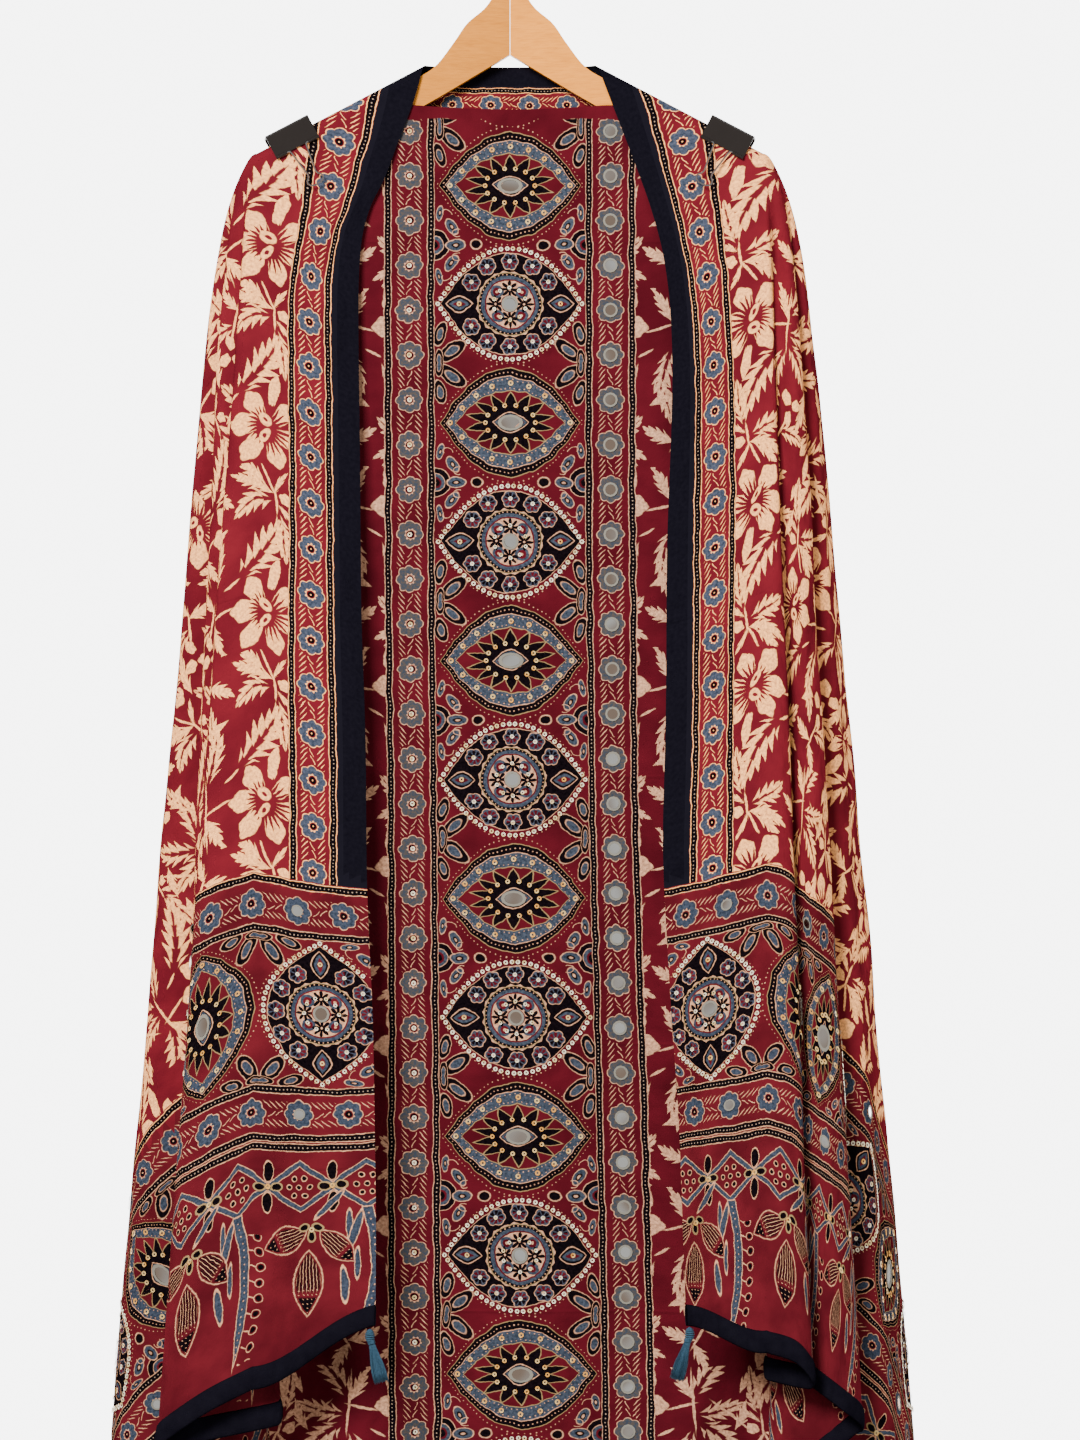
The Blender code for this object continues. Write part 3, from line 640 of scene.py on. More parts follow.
def lined(colour, distance, along, cream, ink):
    """A printed line by distance from its middle: cream, black and a row of dots."""
    step = (along % DOT_PITCH) - DOT_PITCH / 2
    colour = nested(colour, abs(distance), [(3.2, cream), (2.5, ink)])
    return blend(below(length(vector(distance, step)), 0.5, 0.16), colour, DOT)


def rosette(colour, at, tones):
    """Blue petals in a cream rim, with a ragged cream ring round a dark eye."""
    cream, sky, dark, deep = tones
    away, turn = length(at), angle(*parts(at))
    wave = away - 1.8 * abs(calc("COSINE", turn * 4))
    colour = nested(colour, wave, [(10.2, cream), (9.5, sky)])
    colour = nested(colour, away - 0.6 * calc("SINE", turn * 9), [(4.4, cream)])
    return nested(colour, away, [(3.5, deep), (2.6, dark), (0.6, cream)])


def flower_stripe(colour, distance, along, tones):
    """A row of rosettes on a wavy stem, with slanted strokes between."""
    step = (along % FLOWER_PITCH) - FLOWER_PITCH / 2
    at = vector(distance, step)
    stem = below(abs(distance - 2.4 * calc("SINE", step * 0.36)), 0.34, 0.2)
    off = abs(distance) - 7.2
    taper = 0.62 - 0.058 * off * off
    slant = (along + 1.2 * distance) % (FLOWER_PITCH / 8)
    stroke = below(abs(slant - FLOWER_PITCH / 16) - taper, 0, 0.2)
    stroke = stroke & above(abs(distance), 4.2, 0.3)
    free = above(length(at), 13.3, 0.3)
    return rosette(blend((stroke | stem) & free, colour, tones[0]), at, tones)


def lens(x, y, wide, tall, fullness):
    """1 on a pointed oval of those half sizes, less inside it."""
    return calc("POWER", abs(x) / wide, fullness) + abs(y) / tall


def bead_row(turn, count, off, pitch, radius=0.75):
    """Dots round a ring: turn in radians, off in millimetres from the ring."""
    step = calc("FRACT", turn * (count / (2 * math.pi))) - 0.5
    return below(length(vector(step * pitch, off)), radius, 0.3)


def small_rosette(at, x, y, tones, colour):
    cream, sky, dark, deep = tones
    local = node("VectorMath", at, (x, y, 0), operation="SUBTRACT")
    lx, ly = parts(local)
    away, turn = length(local), angle(lx, ly)
    wave = abs(calc("COSINE", turn * 3))
    petal = above(abs(calc("COSINE", turn * 4)), 0.45, 0.1) & within(away, 2.2, 5.6)
    colour = nested(colour, away - 1.2 * wave, [(6.6, cream), (6, sky)])
    colour = paint(colour, [(petal, deep), (petal & above(ly, 0), dark)])
    return nested(colour, away, [(1.2, cream)])


def eye_medallion(x, y, oval, turn, tones, gold, ground):
    """Cusped bands round a red field, a starburst and an eye."""
    cream, sky, dark, deep = tones
    cusp = oval + 0.022 * abs(calc("SINE", turn * 8))
    colour = nested(ground, cusp, [(1, gold), (0.985, dark), (0.845, cream), (0.83, sky),
                                   (0.6, gold), (0.585, deep)], 0.006)
    beads = ((88, 0.915, 3.8, 0.55), (64, 0.79, 4.2, 0.5), (58, 0.64, 4.2, 0.5))
    dots = many([bead_row(turn, count, (cusp - level) * 50, pitch, radius)
                 for count, level, pitch, radius in beads])
    colour = blend(dots, colour, cream)
    star = vector(x / 39, y / 27)
    spike = 2 * calc("PINGPONG", angle(*parts(star)) * (14 / (2 * math.pi)), 0.5)
    colour = nested(colour, length(star) - 0.38 * spike, [(0.625, gold), (0.575, dark)], 0.02)
    iris = lens(x, y, 15.5, 9, 1.7)
    return nested(colour, iris, [(1, cream), (0.9, dark), (0.8, sky), (0.6, deep),
                                 (0.5, cream)], 0.03)


def round_medallion(x, y, oval, tones, gold, ground):
    """A pointed oval of dark ground with rosettes, round a wheel of sprigs."""
    cream, sky, dark, deep = tones
    quarter = vector(abs(x), abs(y))
    colour = nested(ground, oval, [(0.925, cream), (0.912, dark)], 0.006)
    for place in WHEEL_ROSETTES:
        colour = small_rosette(quarter, *place, tones, colour)
    drop = lens(abs(x) - WHEEL_DROP, y, 12, 8, 1.7)
    colour = nested(colour, drop, [(1, cream), (0.88, dark)], 0.05)
    colour = nested(colour, drop, [(0.62, sky), (0.3, deep)], 0.06)
    away, turn = length(vector(x, y)), angle(x, y)
    teeth = calc("PINGPONG", turn * (20 / math.pi), 1)
    colour = nested(colour, away - 1.6 * teeth, [(27.4, cream)])
    colour = nested(colour, away, [(27.6, gold), (26.8, dark), (24.6, sky)])
    colour = blend(bead_row(turn, 44, away - 25.7, 3.7, 0.5), colour, cream)
    colour = nested(colour, away, [(21.6, deep), (20.4, cream)])
    arm, aside = calc("MAXIMUM", abs(x), abs(y)), calc("MINIMUM", abs(x), abs(y))
    corner = length(vector(arm - 10.6, aside - 10.6))
    colour = nested(colour, corner, [(5.6, sky), (3.4, deep), (1.2, cream)])
    sprig = length(vector(arm - 12.6, aside))
    fan = abs(calc("COSINE", angle(arm - 12.6, aside) * 4))
    colour = nested(colour, sprig - 5.6 * fan, [(2.4, dark)])
    colour = nested(colour, sprig, [(1, cream)])
    return nested(colour, away, [(7.4, deep), (6.4, cream)])


# Ovals beside the medallions: place, turn, half length, half width.
SIDE_LEAVES = [(47, 0, 0, 8.6, 5), (50, 15.5, 55, 8.2, 4.6), (60.5, 27, 100, 7.5, 3)]
SIDE_BRACKETS = [(50, 11, -38, 13.5, 6.4), (60, 25, -74, 10.5, 5),
                 (61, 3, 90, 8.5, 3.4)]


def side_motifs(x, y, tones, colour, even):
    """Half rosettes with leaves at one kind of junction, dark brackets at the other."""
    cream, sky, dark, deep = tones
    fold = vector(abs(x), abs(y))
    first = nested(colour, length(vector(abs(x) - 65, y)), [
        (13.2, cream), (12.6, dark), (8.4, cream), (7.8, sky), (5, deep), (3.4, dark)])
    for row in SIDE_LEAVES:
        rim = length(moved(fold, *row))
        first = nested(first, rim, [(1, cream), (0.88, sky)], 0.06)
        first = nested(first, rim, [(0.42, dark), (0.2, cream)], 0.08)
    first = nested(first, length(moved(fold, 29, 0, 0, 5.6, 4.6)), [(1, cream), (0.8, dark)], 0.1)
    for row, visible in (((45, 10, 0, 4.4, 3.4), above(abs(x), 43)),
                         ((54, 27, 30, 4.6, 3), above(abs(y), 26))):
        curl = abs(length(moved(fold, *row)) - 1)
        first = blend(below(curl, 0.08, 0.06) & visible, first, cream)
    second = colour
    for row in SIDE_BRACKETS:
        rim = length(moved(fold, *row))
        second = nested(second, rim, [(1.06, cream), (0.98, dark)], 0.05)
        second = nested(second, rim, [(0.56, cream), (0.49, sky)], 0.06)
    return blend(even, second, first)


def medallion_band(x, y, tones, gold, ground):
    """Eye and round medallions in turn along y, with an eye at 0."""
    half = MEDALLION_PITCH / 2
    local = (y + half) % MEDALLION_PITCH - half
    even = below((y + half) % (2 * MEDALLION_PITCH), MEDALLION_PITCH, 0.01)
    joint = y % MEDALLION_PITCH - half
    first_joint = below(y % (2 * MEDALLION_PITCH), MEDALLION_PITCH, 0.01)
    wheel_rim = lens(x, local, *WHEEL_RIM)
    oval = wheel_rim + (lens(x, local, *EYE_RIM) - wheel_rim) * even
    turn = angle(x / 62, local / 50)
    colour = blend(bead_row(turn, 84, (oval - 1.08) * 48, 4.4, 0.5), ground, tones[0])
    colour = side_motifs(x, joint, tones, colour, first_joint)
    eye = eye_medallion(x, local, oval, turn, tones, gold, colour)
    wheel = round_medallion(x, local, oval, tones, gold, colour)
    return blend(below(oval, 1.03, 0.002), colour, blend(even, wheel, eye))


# Toran: its repeat, the height of its diamonds, and where its first tulip hangs.
TORAN_PITCH = 102.3
TORAN_LINE = 27
TORAN_HEART = (-42.15, 62)
TULIP_PETALS = [(-20, 8, 157, 18, 11), (-3, 43, 92, 27, 12),
                (20, 15, 48, 20, 10)]
TULIP_CALYX = [(0, 5, 90, 5.5, 3.4), (-5.5, -2, 160, 5, 3.4), (5.5, -2, 20, 5, 3.4)]
TULIP_LEAVES = [(14, -20, -47, 17, 2.7), (25, 47, 84, 16, 3.6)]
BLADE_LEAVES = [(-13, 60, 90, 14, 2.7), (-9, 66, 108, 20, 3.6),
                (-7, 93, 92, 14, 2.5)]


def tulip_petal(colour, at, x, y, turn, size, wide, tones):
    """A pointed petal, striped at its root, with a dotted dark tip."""
    cream, _, dark, deep = tones
    along, aside = parts(moved(at, x, y, turn))
    reach = along / size
    rim = abs(aside) / wide + reach * reach
    inside = below(rim, 0.78, 0.04)
    stripe = abs(aside * (1.25 - 0.35 * reach) % 3.4 - 1.7)
    root = below(reach, 0.22, 0.1) & inside
    dots = below(length(vector(along % 3.6 - 1.8, (aside + along) % 3.6 - 1.8)), 0.45, 0.15)
    tip = above(reach, 0.42, 0.05) & inside
    colour = nested(colour, rim, [(1, cream), (0.91, deep)], 0.05)
    return paint(colour, [(below(stripe, 1.5) & root, dark), (below(stripe, 0.3, 0.15) & root, cream),
                          (tip, dark), (dots & inside & above(reach, 0.12, 0.05), cream)])


def toran(x, y, tones, gold, ground):
    """A festoon of diamonds joined by four-petalled flowers. Tulips and long leaves hang
    under it in turn. x runs to the right as it is seen."""
    cream, sky, dark, deep = tones
    wide, half = TORAN_PITCH / 4, TORAN_PITCH / 2
    cell = wide - abs(x % (2 * wide) - wide)
    height = y - TORAN_LINE
    diamond = abs(abs(cell) / wide + abs(height) / 19 - 1)
    colour = nested(ground, diamond, [(0.15, cream), (0.112, sky)], 0.012)
    away, turn = length(vector(cell, height)), angle(cell, height)
    sixth = (turn + math.pi / 6) % (math.pi / 3) - math.pi / 6
    ring = vector(away * calc("COSINE", sixth) - 8.2, away * calc("SINE", sixth))
    colour = nested(colour, calc("MINIMUM", length(ring), away), [(2.4, cream), (1.7, dark)])
    side = vector(wide - cell, height)
    colour = edged(colour, side, [(0, -12, 90, 8.5, 4.2), (0, 12.5, 90, 9, 4.2)], cream, dark)
    colour = edged(colour, side, [(6.4, 0, 0, 5.4, 3.6)], gold, dark, 0.7)
    colour = nested(colour, length(side), [(2.2, gold)])
    lean = (x + half) % TORAN_PITCH - half
    colour = edged(colour, vector(lean, y), BLADE_LEAVES, cream, sky, 0.8)
    bow = lean - 7 * calc("SINE", (y - 46) * (math.pi / 95))
    narrow = abs(bow) - calc("MINIMUM", (164 - y) * 0.14, 4.4)
    blade = above(y, 46) & below(narrow, 0)
    core = above(y, 47) & below(narrow, -0.75)
    step = y % 12 - 6
    fruit = length(vector(bow - 13, step)) + 90 * above(abs(y - 112), 48, 0.5)
    stalk = below(abs(step - 0.5 * bow + 5), 0.5)
    stalk = stalk & within(bow, 4, 10) & within(y, 64, 160, 0.5)
    pips = below(length(vector(bow, y % 5.5 - 2.75)), 0.55)
    colour = paint(colour, [(blade | stalk, cream), (core, sky), (core & pips, cream)])
    colour = nested(colour, fruit, [(3.6, cream), (3, deep), (2.1, dark)])
    lean = (x - TORAN_HEART[0] + half) % TORAN_PITCH - half
    at = vector(lean, y - TORAN_HEART[1])
    colour = edged(colour, at, TULIP_LEAVES, cream, sky, 0.8)
    for row in TULIP_PETALS:
        colour = tulip_petal(colour, at, *row, tones)
    return edged(colour, at, TULIP_CALYX, gold, dark, 0.66)


def dyes(flat, kind):
    """The cloth's colours, each a little uneven: cream, blue, ink, red and gold thread. The gold's fine
    mottle is partly uneven thread and partly painted glints of its metal.
    """
    speck = above(noisy(flat, 0.42, 4, rough=0.62), 0.5, 0.24)
    fade = above(noisy(flat, 0.02, 3), 0.5, 0.2)
    tones = DYES[kind]
    # Painted glints: fine light flecks over the dark gold thread, partly uneven thread too.
    spark = noisy(flat, 2.2, 1)
    return ((blend(speck, *tones["cream"]), blend(speck, *tones["blue"]), blend(speck, *INK),
             blend(fade, *tones["red"])), blend(spark, *GOLD))


def cloth_base(name, roughness):
    made, shader = finish(name, roughness)
    shader.inputs["Specular IOR Level"].default_value = 0
    uv = node("UVMap", uv_map="cloth")
    flat = node("VectorMath", uv, (1000, 1000, 1000), operation="MULTIPLY")
    return made, shader, flat


def weave_bump(shader, flat):
    """Threads, slubs, soft crumples and the creases that the cloth was stored with."""
    x, y = parts(flat)
    threads = calc("SINE", x * 11) + calc("SINE", y * 11)
    slub = noisy(flat, 0.35, 1)
    crumple = noisy(flat, 0.03, 2)
    crease = below(abs(y % 230 - 115), 0.8, 1.6)
    bump = node("Bump", 0.8, MM, None, threads * 0.03 + slub * 0.4 + crumple * 8 + crease * 0.7)
    wire_in(shader, "Normal", bump)


def shawl_print(name, zones):
    """The shawl's dyed pattern, with only the zones that its faces reach."""
    made, shader, flat = cloth_base(name, 0.6)
    if zones == {"navy"}:
        wire_in(shader, "Base Color", blend(noisy(flat, 0.3, 1), *NAVY))
        weave_bump(shader, flat)
        return made
    at = hand_worn(flat)
    across, along = parts(at)
    end = abs(along)
    tones, gold = dyes(flat, "end" if "end" in zones else "field")
    cream, _, ink, red = tones
    colour = red
    if "field" in zones:
        colour = blend(field_print(at), red, cream)
    if "edge" in zones:
        edge = calc("MINIMUM", across, SHAWL_WIDTH / MM - across)
        edge = edge * (1 + 0.35 * below(end, 84, 14))
        stripes = flower_stripe(red, edge - sum(STRIPE) / 2, along, tones)
        colour = blend(below(edge, FIELD_EDGE), colour, stripes)
        for middle in EDGE_LINES:
            colour = lined(colour, edge - middle, along, cream, ink)
        colour = blend(below(edge, NECK_BAND), colour, NAVY[1])
    if "start" in zones:
        colour = blend(above(end, END_ZONES["start"]), colour, red)
        colour = lined(colour, end - END_LINES[0], across, cream, ink)
    if "end" in zones:
        border = medallion_band((end - END_MIDDLE) * END_STRETCH, across - END_ROUND + MEDALLION_PITCH,
                                tones, gold, red)
        facing = calc("SIGN", along)
        swag = toran(across * facing + 25.6 + 19.2 * facing, end - END_ZONES["toran"], tones, gold, red)
        border = blend(above(end, END_ZONES["toran"]), border, swag)
        first, second = (sum(END_ZONES[zone]) / 2 for zone in ("flowers", "flowers_2"))
        middle = first + above(end, END_MIDDLE) * (second - first)
        row = flower_stripe(red, end - middle, across, tones)
        colour = blend(within(end - middle, -17, 17), border, row)
        for middle in END_LINES:
            colour = lined(colour, end - middle, across, cream, ink)
    wire_in(shader, "Base Color", colour)
    weave_bump(shader, flat)
    return made


def panel_print(name, zones):
    """The panel's pattern: medallions down its middle, flower stripes, then the field."""
    made, shader, flat = cloth_base(name, 0.6)
    at = hand_worn(flat)
    across, along = parts(at)
    edge = abs(across)
    # The panel's dye set is darker as painted shade, for its place behind the shawl's fronts.
    tones, gold = dyes(flat, "panel")
    cream, _, ink, red = tones
    colour = red
    if "field" in zones:
        start = vector(edge - PANEL_ZONES["field"] + FIELD_EDGE + 42, along)
        colour = blend(field_print(start), red, cream)
    if "stripe" in zones:
        low, high = PANEL_ZONES["stripe"]
        blue = tuple(0.6 * part for part in DYES["panel"]["blue"][1])
        sewn = blend(above(noisy(flat, 0.45, 3), 0.5, 0.1), blue, SILVER)
        stripes = flower_stripe(red, edge - (low + high) / 2, along, (cream, sewn, ink, red))
        colour = blend(below(edge, PANEL_ZONES["field"]), colour, stripes)
        for middle in PANEL_LINES:
            colour = lined(colour, edge - middle, along, cream, ink)
    if "medallions" in zones:
        band = medallion_band(across, along - PANEL_EYE, tones, gold, red)
        colour = blend(below(edge, PANEL_ZONES["medallions"]), colour, band)
    colour = blend(below(along, 9, 0.5), colour, red)
    wire_in(shader, "Base Color", colour)
    weave_bump(shader, flat)
    return made


def zone_faces(mesh, choose):
    """Gives each face the material that choose names from its flat extent."""
    corners = np.empty(len(mesh.loops) * 2, dtype=np.float32)
    mesh.uv_layers["cloth"].data.foreach_get("uv", corners)
    corners = corners.reshape(-1, 2) * 1000
    starts = np.array([face.loop_start for face in mesh.polygons])
    low = np.minimum.reduceat(corners, starts)
    high = np.maximum.reduceat(corners, starts)
    for face, (x0, y0), (x1, y1) in zip(mesh.polygons, low, high):
        face.material_index = choose(x0, y0, x1, y1)


def two_tone(name, dark, light, roughness, shine, scale, detail, metallic=0):
    """A finish mottled between two tones. Also gives its shader, place and mottle."""
    made, shader = finish(name, roughness, metallic)
    shader.inputs["Specular IOR Level"].default_value = shine
    at = node("TexCoord", out=3)
    tone = noisy(at, scale, detail)
    wire_in(shader, "Base Color", blend(tone, dark, light))
    return made, shader, at, tone


def plain_finish(name, colour, roughness, metallic, shine):
    dark = tuple(0.78 * part for part in colour)
    made, shader, _, tone = two_tone(name, dark, colour, roughness, shine, 60, 3, metallic)
    wire_in(shader, "Roughness", roughness * 0.8 + tone * roughness * 0.4)
    return made


def navy_finish():
    made, shader, at, _ = two_tone("navy_binding", *NAVY, 0.7, 0, 90, 2)
    wire_in(shader, "Normal", node("Bump", 0.6, MM, None, noisy(at, 420, 3)))
    return made


def wood_finish(side, depth):
    """Lacquered beech with its grain along the arm. depth scales its tone as painted light and shade:
    the left arm is darkened and the right arm lightened, for how light falls on each.
    """
    made, shader = finish(f"beech_wood_{side}", 0.42)
    at = node("TexCoord", out=3)
    turned = node("Mapping", at, None, (0, math.radians(30) * SIDES[side], 0), (7, 80, 80))
    rings = noisy(turned, 1.6, 3)
    fibre = noisy(node("VectorMath", turned, (9, 12, 12), operation="MULTIPLY"), 1, 2)
    light, dark, deep = (tuple(depth * part for part in tone) for tone in (
        (0.6, 0.22, 0.026), (0.45, 0.155, 0.015), (0.29, 0.088, 0.009)))
    tone = blend(rings, dark, light)
    tone = blend(fibre * fibre * 0.9, tone, deep)
    wire_in(shader, "Base Color", tone)
    shader.inputs["Specular IOR Level"].default_value = 0.12
    shader.inputs["Coat Weight"].default_value = 0.05
    shader.inputs["Coat Roughness"].default_value = 0.3
    wire_in(shader, "Normal", node("Bump", 0.3, 0.3 * MM, None, fibre))
    return made


# Cloths: how finely each sheet is drawn.
FRONT_STEPS = 20
BACK_STEPS = 16
NECK_STEPS = 10
SHEET_ROWS = 170


def fine_lines(side):
    """The hanging lines again, closer together."""
    lines = []
    for step in range(FRONT_STEPS):
        share = step / FRONT_STEPS
        start, across = mix(NECK_ALONG, TIP_ALONG, share), TIP_ACROSS * share
        lines.append((start, across, 1, 0, cloth_end(side, across) - start))
    turns = side_turns(side)
    fine = []
    for low, high in zip(turns, turns[1:]):
        steps = max(2, round((high - low) / 0.62))
        fine += [mix(low, high, step / steps) for step in range(steps)]
    for turn in fine + [90]:
        ahead, aside = math.cos(math.radians(turn)), math.sin(math.radians(turn))
        to_end = (cloth_end(side, SHAWL_WIDTH) - TIP_ALONG) / max(ahead, 1e-9)
        to_edge = (SHAWL_WIDTH - TIP_ACROSS) / max(aside, 1e-9)
        lines.append((TIP_ALONG, TIP_ACROSS, ahead, aside, min(to_end, to_edge)))
    for step in reversed(range(BACK_STEPS)):
        share = step / BACK_STEPS
        start, across = mix(NECK_ALONG, TIP_ALONG, share), TIP_ACROSS * share
        lines.append((start, across, 0, 1, SHAWL_WIDTH - across))
    for step in reversed(range(1, NECK_STEPS)):
        lines.append(((NECK_ALONG - 2 * MM) * step / NECK_STEPS, 0, 0, 1, SHAWL_WIDTH))
    return lines


def sheet_depth(row, length):
    crest_rows, arc = 8, math.pi / 2 * OVER_RADIUS
    if row <= crest_rows:
        return arc * row / crest_rows
    return arc + (length - arc) * ((row - crest_rows) / (SHEET_ROWS - crest_rows)) ** 1.08


def rumple(point, across, along, reach):
    """Soft wrinkles in a hanging cloth, stronger away from where it is held."""
    broad = noise.noise(Vector((across * 9, along * 2.4, 0)))
    small = noise.noise(Vector((across * 30 + along * 7, along * 9, 4)))
    fine = noise.noise(Vector((across * 70 - along * 11, along * 24, 7)))
    point.y += reach * (6.5 * MM * broad + 2.6 * MM * small + 0.7 * MM * fine)
    point.x += reach * 2 * MM * noise.noise(Vector((across * 14, along * 5, 9)))
    return point


def shawl_surface(side, along, across):
    depth = math.hypot(max(along - TIP_ALONG, 0), max(across - TIP_ACROSS, 0))
    if across <= TIP_ACROSS:
        depth = along - mix(NECK_ALONG, TIP_ALONG, across / TIP_ACROSS)
    if along < mix(NECK_ALONG, TIP_ALONG, min(across / TIP_ACROSS, 1)):
        depth = across
    point = shawl_point(side, along, across)
    return rumple(point, across, SIDES[side] * along, smoothstep(30 * MM, 200 * MM, depth))


def panel_surface(across, depth):
    point = panel_point(across, depth)
    return rumple(point, across + 3, depth, 0.5 * smoothstep(40 * MM, 250 * MM, depth))


def make_shawl():
    lines = [("left", line) for line in fine_lines("left")]
    lines.append(("right", (0, 0, 0, 1, SHAWL_WIDTH)))
    lines += [("right", line) for line in reversed(fine_lines("right"))]

    def flat_place(column, row):
        side, (along, across, ahead, aside, reach) = lines[column]
        depth = sheet_depth(row, reach)
        return across + depth * aside, SIDES[side] * (along + depth * ahead)

    def place(column, row):
        side, (along, across, ahead, aside, reach) = lines[column]
        depth = sheet_depth(row, reach)
        return shawl_surface(side, along + depth * ahead, across + depth * aside)

    mesh = weld(grid_sheet("shawl_sheet", len(lines) - 1, SHEET_ROWS, place, flat_place))
    zones = [{"field"}, {"edge"}, {"field", "edge"}, {"end"}, {"field", "edge", "start"}, {"navy"}]
    prints = [shawl_print("shawl_print_" + "_".join(sorted(zone)), zone) for zone in zones]
    full = SHAWL_WIDTH / MM

    def choose(x0, y0, x1, y1):
        near = min(x0, full - x1)
        far = max(min(x0, full - x0), min(x1, full - x1))
        nearest_end, furthest_end = min(abs(y0), abs(y1)), max(abs(y0), abs(y1))
        if nearest_end > 800:
            return 3
        if furthest_end > 795:
            return 4
        if near > 69:
            return 0
        if far < 20:
            return 5
        return 1 if far < 61 else 2

    zone_faces(mesh, choose)
    return piece("shawl_sheet", mesh, "shawl_cloth", "shawl", *prints)


def make_panel():
    columns, rows = 150, 200

    def spot(column, row):
        across = PANEL_HALF_WIDTH * (2 * column / columns - 1)
        return across, (panel_top(across) - PANEL_HEM_Z) * (row / rows) ** 1.1

    def flat_place(column, row):
        across, depth = spot(column, row)
        return across, depth - panel_top(across) + panel_top(0)

    def place(column, row):
        return panel_surface(*spot(column, row))

    mesh = weld(grid_sheet("panel_sheet", columns, rows, place, flat_place))
    zones = [{"field"}, {"stripe"}, {"medallions"}, {"field", "stripe"}, {"medallions", "stripe"}]
    prints = [panel_print("panel_print_" + "_".join(sorted(zone)), zone) for zone in zones]

    def choose(x0, y0, x1, y1):
        near, far = min(abs(x0), abs(x1)), max(abs(x0), abs(x1))
        if near > 112:
            return 0
        if far < 61:
            return 2
        if far < 69:
            return 4
        return 1 if far < 104 else 3

    zone_faces(mesh, choose)
    return piece("panel_sheet", mesh, "panel_cloth", "panel", *prints)


def make_binding(side, finish_):
    """The gathered binding: a puffed ring of cloth round the shawl's end."""
    turns = side_turns(side)
    reach = cloth_end(side, SHAWL_WIDTH) - TIP_ALONG
    stops = [TIP_ACROSS * step / 44 for step in range(44)]
    for low, high in zip(turns, turns[1:]):
        steps = max(2, round((high - low) / 0.22))
        for step in range(steps):
            turn = min(mix(low, high, step / steps), 89)
            across = TIP_ACROSS + reach * math.tan(math.radians(turn))
            if across < SHAWL_WIDTH:
                stops.append(across)
    stops.append(SHAWL_WIDTH)
    around = 12
    near = 0.5 * MM
    points, faces = [], []
    for stop in stops:
        start = cloth_end(side, stop) - BINDING_TUCK
        gather = 1 + 0.45 * noise.noise(Vector((stop * 150, 0, SIDES[side])))
        for step in range(around):
            turn = 2 * math.pi * step / around
            along = start + HEM_BAND * (0.5 - 0.5 * math.cos(turn))
            here = shawl_surface(side, along, stop)
            aside = shawl_surface(side, along, stop + near) - shawl_surface(side, along, stop - near)
            down = shawl_surface(side, along + near, stop) - shawl_surface(side, along - near, stop)
            normal = aside.cross(down).normalized()
            pucker = 1 + 0.35 * noise.noise(Vector((stop * 230, 3 * turn / math.pi, 5)))
            points.append(here + normal * BINDING_PUFF * gather * pucker * math.sin(turn))
    rings = len(stops)
    for ring in range(rings - 1):
        for step in range(around):
            after = (step + 1) % around
            first, second = ring * around, (ring + 1) * around
            faces.append((first + step, first + after, second + after, second + step))
    faces.append(tuple(range(around)))
    faces.append(tuple((rings - 1) * around + step for step in reversed(range(around))))
    mesh = bpy.data.meshes.new(f"hem_binding_{side}")
    mesh.from_pydata(points, [], faces)
    weld(mesh)
    return piece(f"hem_binding_{side}", mesh, f"hem_band_{side}", f"hem_band_{side}", finish_)


def tube(points, radii, sides, vertices, faces):
    """Adds a capped tube along points to the lists."""
    first = len(vertices)
    for at, (point, radius) in enumerate(zip(points, radii)):
        ahead = points[min(at + 1, len(points) - 1)] - points[max(at - 1, 0)]
        turn = ahead.to_track_quat("Z", "Y")
        for step in range(sides):
            angle_ = 2 * math.pi * step / sides
            offset = Vector((radius * math.cos(angle_), radius * math.sin(angle_), 0))
            vertices.append(point + turn @ offset)
    for at in range(len(points) - 1):
        for step in range(sides):
            after = (step + 1) % sides
            low, high = first + at * sides, first + (at + 1) * sides
            faces.append((low + step, low + after, high + after, high + step))
    faces.append(tuple(first + step for step in reversed(range(sides))))
    faces.append(tuple(first + (len(points) - 1) * sides + step for step in range(sides)))


